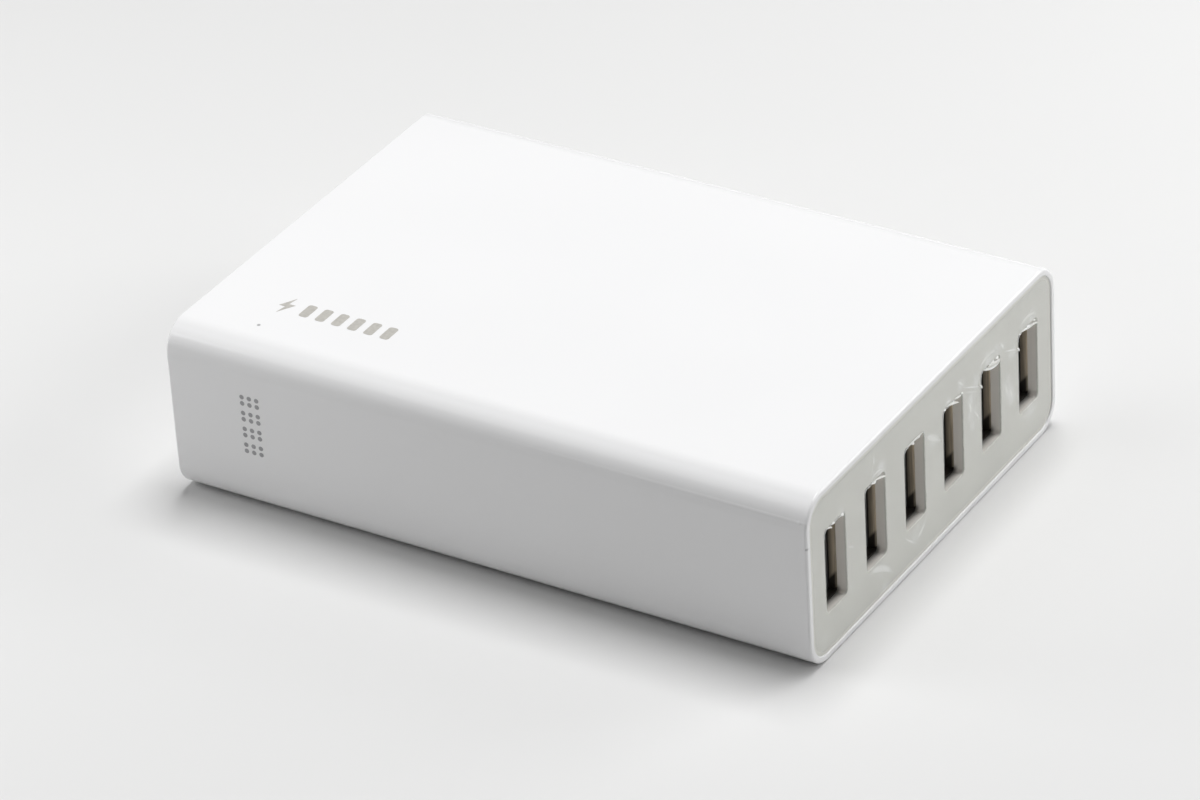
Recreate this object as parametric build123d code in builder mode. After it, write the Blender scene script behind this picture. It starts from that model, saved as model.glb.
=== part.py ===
from build123d import *
import os

# Six-port USB desktop charger, in millimetres.
# Origin at the centre of the underside, +X towards the USB ports, +Z up.

os.makedirs("parts", exist_ok=True)

# Casing: an extruded sleeve, open at both ends
body_length = 100.0
body_width = 69.4
body_height = 26.4
edge_radius = 4.5
wall = 2.0
rim_wall = 1.0
rim_chamfer = 0.3

# End panels, set into the rims and held by four snap tabs each
panel_thickness = 1.5
panel_recess = 0.2
panel_gap = 0.1
snap_offset = 18.0
snap_width = 8.0
snap_thickness = 1.2
snap_length = 5.0
snap_hook = 0.45
snap_hook_length = 1.5
snap_gap = 0.15
pocket_gap = 0.2

# USB-A receptacles, standing on edge in one row
port_count = 6
port_end_margin = 7.7
usb_open_width = 5.12
usb_open_height = 12.5
usb_sheet = 0.3
usb_corner = 0.4
usb_length = 13.7
usb_front_gap = 0.05
slot_margin = 0.2
slot_radius = 0.7
finger_offset = 3.0
finger_length = 4.6
finger_width = 1.6
finger_dip = 0.35
window_front = 2.4
window_gap = 0.4
leg_width = 2.0
leg_length = 2.6
tongue_width = 11.1
tongue_thickness = 1.84
tongue_wall_gap = 0.66
tongue_setback = 0.8
tongue_chamfer = 0.2
block_depth = 3.6
block_fit = 0.05
contact_spacing = (-3.5, -1.0, 1.0, 3.5)
contact_width = 1.0
contact_thickness = 0.2
contact_bow = 0.4
contact_setback = 1.2
contact_fit = 0.03

# Protective film on the port panel
film_thickness = 0.1
film_inset = 0.45
film_slot_margin = 0.25

# Mains inlet, two poles
inlet_collar_width = 19.2
inlet_collar_height = 10.6
inlet_collar_gap = 0.1
inlet_flange_width = 22.0
inlet_flange_height = 13.0
inlet_flange_thickness = 1.5
inlet_depth = 14.0
recess_depth = 12.0
recess_radius = 4.1
recess_waist = 5.6
pin_spacing = 8.6
pin_radius = 1.18
shank_side = 1.6
pin_setback = 1.6
pin_fit = 0.02
pin_chamfer = 0.5
tail_side = 1.0
tail_reach = 1.6

# Circuit boards and the rails that carry them
board_thickness = 1.6
board_side_gap = 0.3
board_end_gap = 0.5
board_rail_gap = 0.1
usb_board_gap = 0.3
ledge_width = 2.0
keeper_width = 1.0
keeper_height = 1.2
rail_root = 0.25
port_board_margin = 1.5
tab_width = 4.0
tab_pitch = 20.0
tab_drop = 1.0
hole_gap = 0.15
sheet_thickness = 0.3
sheet_gap = 0.3

# Parts on the main board
part_gap = 0.5
fuse_size = (8.4, 4.2, 7.6)
fuse_chamfer = 0.4
varistor_radius = 4.6
varistor_thickness = 3.8
varistor_lift = 1.6
disc_lead = 0.7
x_capacitor_size = (12.6, 6.0, 11.6)
x_capacitor_chamfer = 0.6
bridge_size = (10.4, 3.6, 8.6)
bridge_lift = 1.8
bridge_lead = 0.8
choke_size = (5.0, 15.0, 13.0)
choke_window_width = 6.4
choke_window_height = 6.4
choke_coil_build = 1.3
choke_coil_gap = 0.1
bulk_radius = 6.2
bulk_height = 14.6
heatsink_length = 22.0
heatsink_height = 13.5
heatsink_thickness = 1.6
heatsink_foot = 3.4
switch_body = (6.6, 2.3, 6.0)
switch_tab_width = 5.3
switch_tab_height = 7.4
switch_tab_thickness = 0.5
switch_lift = 3.0
switch_lead_width = 0.7
switch_lead_pitch = 2.3
core_length = 25.0
core_depth = 13.0
core_plate = 3.4
core_leg = 3.0
core_centre_leg = 7.0
core_window_height = 8.0
bobbin_wall = 0.8
bobbin_gap = 0.1
winding_build = 3.6
winding_corner = 1.5
y_capacitor_radius = 3.6
y_capacitor_thickness = 3.2
optocoupler_size = (4.6, 6.4, 3.4)
controller_size = (3.9, 4.9, 1.45)
chip_lift = 0.1
chip_leg_reach = 1.05
chip_leg_thickness = 0.2
chip_leg_width = 0.42
chip_leg_pitch = 1.27
rectifier_sink_length = 28.0
output_radius = 4.0
output_height = 12.0
output_choke_size = (7.2, 9.0, 8.0)
output_choke_corner = 1.2
charge_chip_size = (4.0, 5.0, 1.0)
charge_chip_chamfer = 0.15

# Worked-out sizes
half_length = body_length / 2
mid_height = body_height / 2
cavity_width = body_width - 2 * wall
cavity_height = body_height - 2 * wall
cavity_corner = edge_radius - wall
cavity_side = cavity_width / 2
cavity_top = body_height - wall
seat_width = body_width - 2 * rim_wall
seat_height = body_height - 2 * rim_wall
seat_radius = edge_radius - rim_wall
seat_depth = panel_recess + panel_thickness
panel_width = seat_width - 2 * panel_gap
panel_height = seat_height - 2 * panel_gap
panel_radius = seat_radius - panel_gap
panel_front = half_length - panel_recess
panel_back = panel_front - panel_thickness

port_pitch = (body_width - 2 * port_end_margin) / (port_count - 1)
port_places = [(n - (port_count - 1) / 2) * port_pitch for n in range(port_count)]
shell_width = usb_open_width + 2 * usb_sheet
shell_height = usb_open_height + 2 * usb_sheet
shell_front = panel_back - usb_front_gap
shell_back = shell_front - usb_length
slot_width = usb_open_width + 2 * slot_margin
slot_height = usb_open_height + 2 * slot_margin
block_front = shell_back + block_depth
tongue_tip = shell_front - tongue_setback

port_board_front = shell_back
port_board_back = port_board_front - board_thickness
board_top = mid_height - shell_height / 2 - usb_board_gap
board_bottom = board_top - board_thickness
board_width = cavity_width - 2 * board_side_gap
board_reach = panel_back - board_end_gap
port_board_top = mid_height + shell_height / 2 + port_board_margin
port_board_width = cavity_width - 2 * keeper_width - 2 * board_side_gap
tab_bottom = board_bottom - tab_drop

inlet_front = -panel_front
inlet_seat = -panel_back
inlet_back = inlet_front + inlet_depth
recess_floor = inlet_front + recess_depth
pin_tip = inlet_front + pin_setback
pin_end = inlet_back + tail_reach
tail_place = pin_end - tail_side / 2

# Layout of the main board: rows across it, each row spread over the width
row_side = cavity_side - keeper_width - part_gap
row_rear = pin_end + part_gap
row_front = port_board_back - charge_chip_size[2] - part_gap


def spread(start, end, sizes):
    """Centres of things of these sizes, laid out with equal gaps."""
    gap = (end - start - sum(sizes)) / (len(sizes) + 1)
    centres = []
    edge = start
    for size in sizes:
        centres.append(edge + gap + size / 2)
        edge += gap + size
    return centres


winding_side = core_centre_leg + 2 * (bobbin_gap + bobbin_wall + winding_build)
transformer_width = max(core_depth, winding_side)
switch_depth = heatsink_foot + heatsink_thickness + switch_body[1]
row_depths = (2 * bulk_radius, core_length, switch_depth, 2 * output_radius)
row_bulk, row_transformer, row_rectifier, row_output = spread(row_rear, row_front, row_depths)
choke_width = choke_size[1] + 2 * choke_coil_build
bulk_row = spread(-row_side, row_side, (choke_width,) + (2 * bulk_radius,) * 3)
control_depth = optocoupler_size[0] + 2 * chip_leg_reach
transformer_row = spread(-row_side, row_side, (switch_depth, transformer_width, control_depth))
rectifier_row = spread(-row_side, row_side, (rectifier_sink_length, output_choke_size[1]))
output_row = spread(-row_side, row_side, (2 * output_radius,) * 3)
inlet_side = inlet_flange_width / 2
inlet_row_left = spread(inlet_side, row_side, (fuse_size[1], varistor_thickness))
inlet_row_right = spread(-row_side, -inlet_side, (bridge_size[1], x_capacitor_size[1]))
inlet_row = (inlet_seat + pin_end) / 2


def save(piece, name):
    """Name a finished piece and write it out."""
    piece.label = name
    export_step(piece, f"parts/{name}.step")


def side_plane(place):
    """A plane across the width at this Y, with X to the right and Z up."""
    return Plane(origin=(0, place, 0), x_dir=(1, 0, 0), z_dir=(0, -1, 0))


# Casing
with BuildPart() as casing:
    with BuildSketch(Plane.YZ.offset(-half_length)):
        with Locations((0, mid_height)):
            RectangleRounded(body_width, body_height, edge_radius)
    extrude(amount=body_length)
    end_faces = casing.faces().filter_by(Axis.X)
    chamfer(end_faces.edges(), rim_chamfer)
    with BuildSketch(Plane.YZ.offset(-half_length)) as cavity_outline:
        with Locations((0, mid_height)):
            Rectangle(cavity_width, cavity_height)
        chamfer(cavity_outline.vertices(), cavity_corner)
    extrude(amount=body_length, mode=Mode.SUBTRACT)
    for seat_start in (-half_length, half_length - seat_depth):
        with BuildSketch(Plane.YZ.offset(seat_start)):
            with Locations((0, mid_height)):
                RectangleRounded(seat_width, seat_height, seat_radius)
        extrude(amount=seat_depth, mode=Mode.SUBTRACT)
    # Ledges under the board, and keepers above it, rooted a little way into both side walls
    keeper_low = board_top + board_rail_gap
    with BuildSketch(Plane.YZ.offset(-panel_back)):
        for side in (-1, 1):
            ledge_middle = side * (cavity_side + (rail_root - ledge_width) / 2)
            keeper_middle = side * (cavity_side + (rail_root - keeper_width) / 2)
            with Locations((ledge_middle, (wall + board_bottom) / 2)):
                Rectangle(ledge_width + rail_root, board_bottom - wall)
            with Locations((keeper_middle, keeper_low + keeper_height / 2)):
                Rectangle(keeper_width + rail_root, keeper_height)
    extrude(amount=2 * panel_back)
    # Pockets that catch the hooks of the panels
    pocket_length = snap_hook_length + 2 * pocket_gap
    pocket_place = panel_back - snap_length + snap_hook_length / 2
    pocket_depth = snap_hook - snap_gap + pocket_gap
    with BuildSketch(Plane.XY.offset(wall - pocket_depth)):
        with GridLocations(2 * pocket_place, 2 * snap_offset, 2, 2):
            Rectangle(pocket_length, snap_width + 2 * pocket_gap)
    extrude(amount=cavity_height + 2 * pocket_depth, mode=Mode.SUBTRACT)
save(casing.part, "casing")


def end_panel():
    """Panel of the port end, without openings: plate and four snap tabs."""
    hook_start = panel_back - snap_length + snap_hook_length
    tab_top = cavity_top - snap_gap
    with BuildPart() as panel:
        with BuildSketch(Plane.YZ.offset(panel_back)):
            with Locations((0, mid_height)):
                RectangleRounded(panel_width, panel_height, panel_radius)
        extrude(amount=panel_thickness)
        with BuildSketch(side_plane(snap_offset)):
            Polygon(
                (panel_back, tab_top - snap_thickness),
                (panel_back, tab_top),
                (hook_start, tab_top),
                (hook_start, tab_top + snap_hook),
                (panel_back - snap_length, tab_top),
                (panel_back - snap_length, tab_top - snap_thickness),
            )
        extrude(amount=snap_width / 2, both=True)
        mirror(about=Plane.XZ)
        mirror(about=Plane.XY.offset(mid_height))
    return panel.part


# Port panel with its six slots
with BuildPart() as port_panel:
    add(end_panel())
    with BuildSketch(Plane.YZ.offset(panel_back)):
        with Locations((0, mid_height)):
            with GridLocations(port_pitch, 0, port_count, 1):
                RectangleRounded(slot_width, slot_height, slot_radius)
    extrude(amount=panel_thickness, mode=Mode.SUBTRACT)
save(port_panel.part, "port_panel")

# Film on the port panel
with BuildPart() as port_film:
    with BuildSketch(Plane.YZ.offset(panel_front)):
        with Locations((0, mid_height)):
            RectangleRounded(
                panel_width - 2 * film_inset,
                panel_height - 2 * film_inset,
                panel_radius - film_inset,
            )
            with GridLocations(port_pitch, 0, port_count, 1):
                Rectangle(
                    slot_width + 2 * film_slot_margin,
                    slot_height + 2 * film_slot_margin,
                    mode=Mode.SUBTRACT,
                )
    extrude(amount=film_thickness)
save(port_film.part, "port_film")


def usb_shell(port_y):
    """Folded metal shell with four spring fingers and two legs."""
    window_start = shell_front - window_front
    window_length = finger_length + window_gap
    window_place = window_start - window_length / 2
    with BuildPart() as shell:
        with BuildSketch(Plane.YZ.offset(shell_back)) as outline:
            with Locations((port_y, mid_height)):
                Rectangle(shell_width, shell_height)
                chamfer(outline.vertices(), usb_corner)
                Rectangle(usb_open_width, usb_open_height, mode=Mode.SUBTRACT)
        extrude(amount=usb_length)
        with BuildSketch(side_plane(port_y)):
            with Locations((window_place, mid_height)):
                with GridLocations(0, 2 * finger_offset, 1, 2):
                    Rectangle(window_length, finger_width + 2 * window_gap)
        extrude(amount=shell_width, both=True, mode=Mode.SUBTRACT)
        for finger_z in (mid_height - finger_offset, mid_height + finger_offset):
            with BuildSketch(Plane.XY.offset(finger_z)):
                for side in (-1, 1):
                    inner = port_y + side * usb_open_width / 2
                    outer = port_y + side * shell_width / 2
                    dip = side * finger_dip
                    Polygon(
                        (window_start, inner),
                        (window_start, outer),
                        (window_start - finger_length, outer - dip),
                        (window_start - finger_length, inner - dip),
                    )
            extrude(amount=finger_width / 2, both=True)
        with BuildSketch(Plane.YZ.offset(shell_back - leg_length)):
            with Locations((port_y, mid_height)):
                with GridLocations(0, shell_height - usb_sheet, 1, 2):
                    Rectangle(leg_width, usb_sheet)
        extrude(amount=leg_length)
    return shell.part


# The tongue stands off the shell wall on the far side of each port
tongue_offset = usb_open_width / 2 - tongue_wall_gap - tongue_thickness / 2
contact_offset = tongue_offset - tongue_thickness / 2 - contact_thickness / 2


def usb_tongue(port_y):
    """Moulded block with the contact tongue."""
    with BuildPart() as tongue:
        with BuildSketch(Plane.YZ.offset(shell_back)):
            with Locations((port_y, mid_height)):
                Rectangle(usb_open_width - 2 * block_fit, usb_open_height - 2 * block_fit)
        extrude(amount=block_depth)
        with BuildSketch(Plane.YZ.offset(block_front)):
            with Locations((port_y + tongue_offset, mid_height)):
                Rectangle(tongue_thickness, tongue_width)
        extrude(amount=tongue_tip - block_front)
        tip_edges = tongue.faces().sort_by(Axis.X)[-1].edges().filter_by(Axis.Z)
        chamfer(tip_edges, tongue_chamfer)
        with BuildSketch(Plane.YZ.offset(shell_back)):
            for contact_z in contact_spacing:
                with Locations((port_y + contact_offset, mid_height + contact_z)):
                    Rectangle(contact_thickness, contact_width + 2 * contact_fit)
        extrude(amount=block_depth, mode=Mode.SUBTRACT)
    return tongue.part


def usb_contacts(port_y):
    """Four bowed spring contacts with tails through the port board."""
    rest = port_y + contact_offset + contact_thickness / 2
    tail_end = shell_back - leg_length
    contact_tip = tongue_tip - contact_setback
    bow_middle = (block_front + contact_tip) / 2
    bow_half = (contact_tip - block_front) / 4
    path = (
        (tail_end, 0),
        (bow_middle - bow_half, 0),
        (bow_middle + bow_half / 2, contact_bow),
        (contact_tip, 0),
    )
    near_side = [(x, rest - bow) for x, bow in path]
    far_side = [(x, rest - bow - contact_thickness) for x, bow in path]
    with BuildPart() as contacts:
        for contact_z in contact_spacing:
            with BuildSketch(Plane.XY.offset(mid_height + contact_z)):
                Polygon(*near_side, *reversed(far_side))
            extrude(amount=contact_width / 2, both=True)
    return contacts.part


for port, port_y in enumerate(port_places, 1):
    save(usb_shell(port_y), f"usb_shell_{port}")
    save(usb_tongue(port_y), f"usb_tongue_{port}")
    save(usb_contacts(port_y), f"usb_contacts_{port}")

# Port board, standing on the main board behind the receptacles
with BuildPart() as port_board:
    with BuildSketch(Plane.YZ.offset(port_board_back)):
        with Locations((0, (board_top + port_board_top) / 2)):
            Rectangle(port_board_width, port_board_top - board_top)
        with Locations((0, (tab_bottom + board_top) / 2)):
            with GridLocations(tab_pitch, 0, 3, 1):
                Rectangle(tab_width, board_top - tab_bottom)
        with Locations((0, mid_height)):
            with GridLocations(port_pitch, shell_height - usb_sheet, port_count, 2):
                Rectangle(leg_width + 2 * hole_gap, usb_sheet + 2 * hole_gap, mode=Mode.SUBTRACT)
        for contact_z in contact_spacing:
            with Locations((contact_offset, mid_height + contact_z)):
                with GridLocations(port_pitch, 0, port_count, 1):
                    Rectangle(
                        contact_thickness + 2 * hole_gap,
                        contact_width + 2 * hole_gap,
                        mode=Mode.SUBTRACT,
                    )
    extrude(amount=board_thickness)
save(port_board.part, "port_board")

# Rear panel: the same blank, turned round, with the opening for the inlet
with BuildPart() as rear_panel:
    add(end_panel(), rotation=(0, 0, 180))
    with BuildSketch(Plane.YZ.offset(inlet_front)):
        with Locations((0, mid_height)):
            SlotOverall(inlet_collar_width + 2 * inlet_collar_gap, inlet_collar_height + 2 * inlet_collar_gap)
    extrude(amount=panel_thickness, mode=Mode.SUBTRACT)
save(rear_panel.part, "rear_panel")

# Mains inlet
with BuildPart() as mains_inlet:
    with BuildSketch(Plane.YZ.offset(inlet_front)):
        with Locations((0, mid_height)):
            SlotOverall(inlet_collar_width, inlet_collar_height)
    extrude(amount=panel_thickness)
    with BuildSketch(Plane.YZ.offset(inlet_seat)):
        with Locations((0, mid_height)):
            Rectangle(inlet_flange_width, inlet_flange_height)
    extrude(amount=inlet_flange_thickness)
    with BuildSketch(Plane.YZ.offset(inlet_seat)):
        with Locations((0, mid_height)):
            Rectangle(inlet_collar_width, inlet_collar_height)
    extrude(amount=inlet_depth - panel_thickness)
    with BuildSketch(Plane.YZ.offset(inlet_front)):
        with Locations((0, mid_height)):
            with GridLocations(pin_spacing, 0, 2, 1):
                Circle(recess_radius)
            Rectangle(pin_spacing, recess_waist)
    extrude(amount=recess_depth, mode=Mode.SUBTRACT)
    with BuildSketch(Plane.YZ.offset(inlet_front)):
        with Locations((0, mid_height)):
            with GridLocations(pin_spacing, 0, 2, 1):
                Rectangle(shank_side + 2 * pin_fit, shank_side + 2 * pin_fit)
    extrude(amount=inlet_depth, mode=Mode.SUBTRACT)
save(mains_inlet.part, "mains_inlet")


def mains_pin(pin_y):
    """Round contact pin, its shank through the inlet, with a tail turned down through the main board."""
    with BuildPart() as pin:
        with BuildSketch(Plane.YZ.offset(pin_tip)):
            with Locations((pin_y, mid_height)):
                Circle(pin_radius)
        extrude(amount=recess_floor - pin_tip)
        chamfer(pin.edges().sort_by(Axis.X)[0], pin_chamfer)
        with BuildSketch(Plane.YZ.offset(recess_floor)):
            with Locations((pin_y, mid_height)):
                Rectangle(shank_side, shank_side)
        extrude(amount=pin_end - recess_floor)
        with BuildSketch(Plane.XY.offset(tab_bottom)):
            with Locations((tail_place, pin_y)):
                Rectangle(tail_side, tail_side)
        extrude(amount=mid_height - tab_bottom)
    return pin.part


for pin, pin_y in enumerate((-pin_spacing / 2, pin_spacing / 2), 1):
    save(mains_pin(pin_y), f"mains_pin_{pin}")

# Main board, slid between the ledges and the keepers
with BuildPart() as main_board:
    with BuildSketch(Plane.XY.offset(board_bottom)):
        Rectangle(2 * board_reach, board_width)
        with Locations(((port_board_front + port_board_back) / 2, 0)):
            with GridLocations(0, tab_pitch, 1, 3):
                Rectangle(board_thickness + 2 * hole_gap, tab_width + 2 * hole_gap, mode=Mode.SUBTRACT)
        with Locations((tail_place, 0)):
            with GridLocations(0, pin_spacing, 1, 2):
                Rectangle(tail_side + 2 * hole_gap, tail_side + 2 * hole_gap, mode=Mode.SUBTRACT)
    extrude(amount=board_thickness)
save(main_board.part, "main_board")

# Insulating sheet on the floor of the casing, between the ledges and the snap tabs
with BuildPart() as insulating_sheet:
    with BuildSketch(Plane.XY.offset(wall)):
        sheet_reach = panel_back - snap_length - sheet_gap
        sheet_side = cavity_side - max(ledge_width, cavity_corner) - sheet_gap
        Rectangle(2 * sheet_reach, 2 * sheet_side)
    extrude(amount=sheet_thickness)
save(insulating_sheet.part, "insulating_sheet")

# Parts beside the inlet
with BuildPart() as fuse:
    with BuildSketch(Plane.XY.offset(board_top)):
        with Locations((inlet_row, inlet_row_left[0])):
            Rectangle(fuse_size[0], fuse_size[1])
    extrude(amount=fuse_size[2])
    chamfer(fuse.edges().filter_by(Axis.Z), fuse_chamfer)
save(fuse.part, "fuse")

with BuildPart() as x_capacitor:
    with BuildSketch(Plane.XY.offset(board_top)):
        with Locations((inlet_row, inlet_row_right[1])):
            Rectangle(x_capacitor_size[0], x_capacitor_size[1])
    extrude(amount=x_capacitor_size[2])
    chamfer(x_capacitor.faces().sort_by(Axis.Z)[-1].edges(), x_capacitor_chamfer)
save(x_capacitor.part, "x_capacitor")

with BuildPart() as bridge_rectifier:
    with BuildSketch(Plane.XY.offset(board_top + bridge_lift)):
        with Locations((inlet_row, inlet_row_right[0])):
            Rectangle(bridge_size[0], bridge_size[1])
    extrude(amount=bridge_size[2] - bridge_lift)
    chamfer(bridge_rectifier.edges().group_by(Axis.Z)[-1].sort_by(Axis.X)[0], bridge_size[1] / 2)
    with BuildSketch(Plane.XY.offset(board_top)):
        with Locations((inlet_row, inlet_row_right[0])):
            with GridLocations(bridge_size[0] / 4, 0, 4, 1):
                Rectangle(bridge_lead, bridge_lead)
    extrude(amount=bridge_lift)
save(bridge_rectifier.part, "bridge_rectifier")


def disc_part(place, radius, thickness):
    """Coated disc on two leads, standing on edge across the board."""
    disc_centre = board_top + varistor_lift + radius
    with BuildPart() as disc:
        with BuildSketch(side_plane(place[1])):
            with Locations((place[0], disc_centre)):
                Circle(radius)
        extrude(amount=thickness / 2, both=True)
        with BuildSketch(Plane.XY.offset(board_top)):
            with Locations(place):
                with GridLocations(radius, 0, 2, 1):
                    Rectangle(disc_lead, disc_lead)
        extrude(amount=varistor_lift + radius)
    return disc.part


save(disc_part((inlet_row, inlet_row_left[1]), varistor_radius, varistor_thickness), "varistor")

# Common-mode choke: a closed core standing on the board, a coil round each upright
choke_leg_width = (choke_size[1] - choke_window_width) / 2
choke_bar = (choke_size[2] - choke_window_height) / 2
with BuildPart() as choke_core:
    with BuildSketch(Plane.YZ.offset(row_bulk - choke_size[0] / 2)):
        with Locations((bulk_row[0], board_top + choke_size[2] / 2)):
            Rectangle(choke_size[1], choke_size[2])
            Rectangle(choke_window_width, choke_window_height, mode=Mode.SUBTRACT)
    extrude(amount=choke_size[0])
save(choke_core.part, "choke_core")

with BuildPart() as choke_coils:
    with BuildSketch(Plane.XY.offset(board_top + choke_bar)):
        with Locations((row_bulk, bulk_row[0])):
            with GridLocations(0, choke_size[1] - choke_leg_width, 1, 2):
                Rectangle(choke_size[0] + 2 * choke_coil_build, choke_leg_width + 2 * choke_coil_build)
                Rectangle(
                    choke_size[0] + 2 * choke_coil_gap,
                    choke_leg_width + 2 * choke_coil_gap,
                    mode=Mode.SUBTRACT,
                )
    extrude(amount=choke_window_height)
    chamfer(choke_coils.edges().filter_by(Axis.Z).group_by(Axis.X)[0], choke_coil_build / 2)
    chamfer(choke_coils.edges().filter_by(Axis.Z).group_by(Axis.X)[-1], choke_coil_build / 2)
save(choke_coils.part, "choke_coils")


def can_part(place, radius, height):
    """Upright round can."""
    with BuildPart() as can:
        with BuildSketch(Plane.XY.offset(board_top)):
            with Locations(place):
                Circle(radius)
        extrude(amount=height)
    return can.part


for number, place_y in enumerate(bulk_row[1:], 1):
    save(can_part((row_bulk, place_y), bulk_radius, bulk_height), f"bulk_capacitor_{number}")
for number, place_y in enumerate(output_row, 1):
    save(can_part((row_output, place_y), output_radius, output_height), f"output_capacitor_{number}")

with BuildPart() as output_choke:
    with BuildSketch(Plane.XY.offset(board_top)):
        with Locations((row_rectifier, rectifier_row[1])):
            Rectangle(output_choke_size[0], output_choke_size[1])
    extrude(amount=output_choke_size[2])
    chamfer(output_choke.edges().filter_by(Axis.Z), output_choke_corner)
save(output_choke.part, "output_choke")


def heatsink(seat, length):
    """Bent plate; the seat plane stands upright across it, its local X pointing to the cooled part."""
    with BuildPart() as sink:
        with BuildSketch(seat):
            Polygon(
                (0, 0),
                (0, heatsink_height),
                (-heatsink_thickness, heatsink_height),
                (-heatsink_thickness, heatsink_thickness),
                (-heatsink_thickness - heatsink_foot, heatsink_thickness),
                (-heatsink_thickness - heatsink_foot, 0),
            )
        extrude(amount=length / 2, both=True)
    return sink.part


def power_part(seat):
    """Flat-backed power package on three leads, its tab against the heatsink."""
    body_width_here, body_depth, body_rise = switch_body
    with BuildPart() as package:
        with BuildSketch(seat):
            with Locations((body_depth / 2, switch_lift + body_rise / 2)):
                Rectangle(body_depth, body_rise)
        extrude(amount=body_width_here / 2, both=True)
        with BuildSketch(seat):
            with Locations((switch_tab_thickness / 2, switch_lift + switch_tab_height / 2)):
                Rectangle(switch_tab_thickness, switch_tab_height)
        extrude(amount=switch_tab_width / 2, both=True)
        for lead in (-1, 0, 1):
            with BuildSketch(seat.offset(lead * switch_lead_pitch)):
                with Locations((body_depth / 2, switch_lift / 2)):
                    Rectangle(switch_tab_thickness, switch_lift)
            extrude(amount=switch_lead_width / 2, both=True)
    return package.part


sink_shift = (heatsink_foot + heatsink_thickness - switch_body[1]) / 2
primary_seat = Plane(
    origin=(row_transformer, transformer_row[0] + sink_shift, board_top),
    x_dir=(0, 1, 0),
    z_dir=(1, 0, 0),
)
secondary_seat = Plane(
    origin=(row_rectifier - sink_shift, rectifier_row[0], board_top),
    x_dir=(-1, 0, 0),
    z_dir=(0, 1, 0),
)
save(heatsink(primary_seat, heatsink_length), "primary_heatsink")
save(power_part(primary_seat), "primary_switch")
save(heatsink(secondary_seat, rectifier_sink_length), "secondary_heatsink")
save(power_part(secondary_seat), "output_rectifier")

# Transformer: two core halves that meet at mid-height, a bobbin and its winding
core_middle = board_top + core_plate + core_window_height / 2
transformer_place = (row_transformer, transformer_row[1])


def core_half(plate_low, legs_low):
    """Half core: a plate with two outer legs and a centre leg."""
    with BuildPart() as half:
        with BuildSketch(Plane.XY.offset(plate_low)):
            with Locations(transformer_place):
                Rectangle(core_length, core_depth)
        extrude(amount=core_plate)
        with BuildSketch(Plane.XY.offset(legs_low)):
            with Locations(transformer_place):
                with GridLocations(core_length - core_leg, 0, 2, 1):
                    Rectangle(core_leg, core_depth)
                Rectangle(core_centre_leg, core_centre_leg)
        extrude(amount=core_window_height / 2)
    return half.part


save(core_half(board_top, board_top + core_plate), "transformer_core_lower")
save(core_half(core_middle + core_window_height / 2, core_middle), "transformer_core_upper")

tube_side = core_centre_leg + 2 * (bobbin_gap + bobbin_wall)
flange_side = tube_side + 2 * winding_build
with BuildPart() as transformer_bobbin:
    with BuildSketch(Plane.XY.offset(core_middle - core_window_height / 2)):
        with Locations(transformer_place):
            Rectangle(tube_side, tube_side)
    extrude(amount=core_window_height)
    window_low = core_middle - core_window_height / 2
    window_high = core_middle + core_window_height / 2
    for flange_low in (window_low, window_high - bobbin_wall):
        with BuildSketch(Plane.XY.offset(flange_low)):
            with Locations(transformer_place):
                Rectangle(flange_side, flange_side)
        extrude(amount=bobbin_wall)
    with BuildSketch(Plane.XY.offset(core_middle - core_window_height / 2)):
        with Locations(transformer_place):
            Rectangle(core_centre_leg + 2 * bobbin_gap, core_centre_leg + 2 * bobbin_gap)
    extrude(amount=core_window_height, mode=Mode.SUBTRACT)
save(transformer_bobbin.part, "transformer_bobbin")

with BuildPart() as transformer_winding:
    winding_outer = flange_side - 2 * bobbin_gap
    with BuildSketch(Plane.XY.offset(core_middle - core_window_height / 2 + bobbin_wall)):
        with Locations(transformer_place):
            Rectangle(winding_outer, winding_outer)
    extrude(amount=core_window_height - 2 * bobbin_wall)
    chamfer(transformer_winding.edges().filter_by(Axis.Z), winding_corner)
    with BuildSketch(Plane.XY.offset(core_middle - core_window_height / 2 + bobbin_wall)):
        with Locations(transformer_place):
            Rectangle(tube_side, tube_side)
    extrude(amount=core_window_height - 2 * bobbin_wall, mode=Mode.SUBTRACT)
save(transformer_winding.part, "transformer_winding")


def chip_part(seat, size, legs_per_side):
    """Moulded chip on gull-wing legs; the legs leave along the local X of the seat plane."""
    chip_width, chip_length, chip_height = size
    leg_low = chip_lift + chip_height / 2 - chip_leg_thickness / 2
    leg_high = leg_low + chip_leg_thickness
    inner = chip_width / 2
    outer = inner + chip_leg_reach
    bend = inner + chip_leg_reach / 2
    profile = (
        (inner, leg_low),
        (bend - chip_leg_thickness, leg_low),
        (bend - chip_leg_thickness, 0),
        (outer, 0),
        (outer, chip_leg_thickness),
        (bend, chip_leg_thickness),
        (bend, leg_high),
        (inner, leg_high),
    )
    leg_plane = Plane(origin=seat.origin, x_dir=seat.x_dir, z_dir=-seat.y_dir)
    with BuildPart() as chip:
        with BuildSketch(seat.offset(chip_lift)):
            Rectangle(chip_width, chip_length)
        extrude(amount=chip_height)
        for leg in range(legs_per_side):
            with BuildSketch(leg_plane.offset((leg - (legs_per_side - 1) / 2) * chip_leg_pitch)):
                Polygon(*profile)
                Polygon(*[(-x, z) for x, z in profile])
            extrude(amount=chip_leg_width / 2, both=True)
    return chip.part


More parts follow.
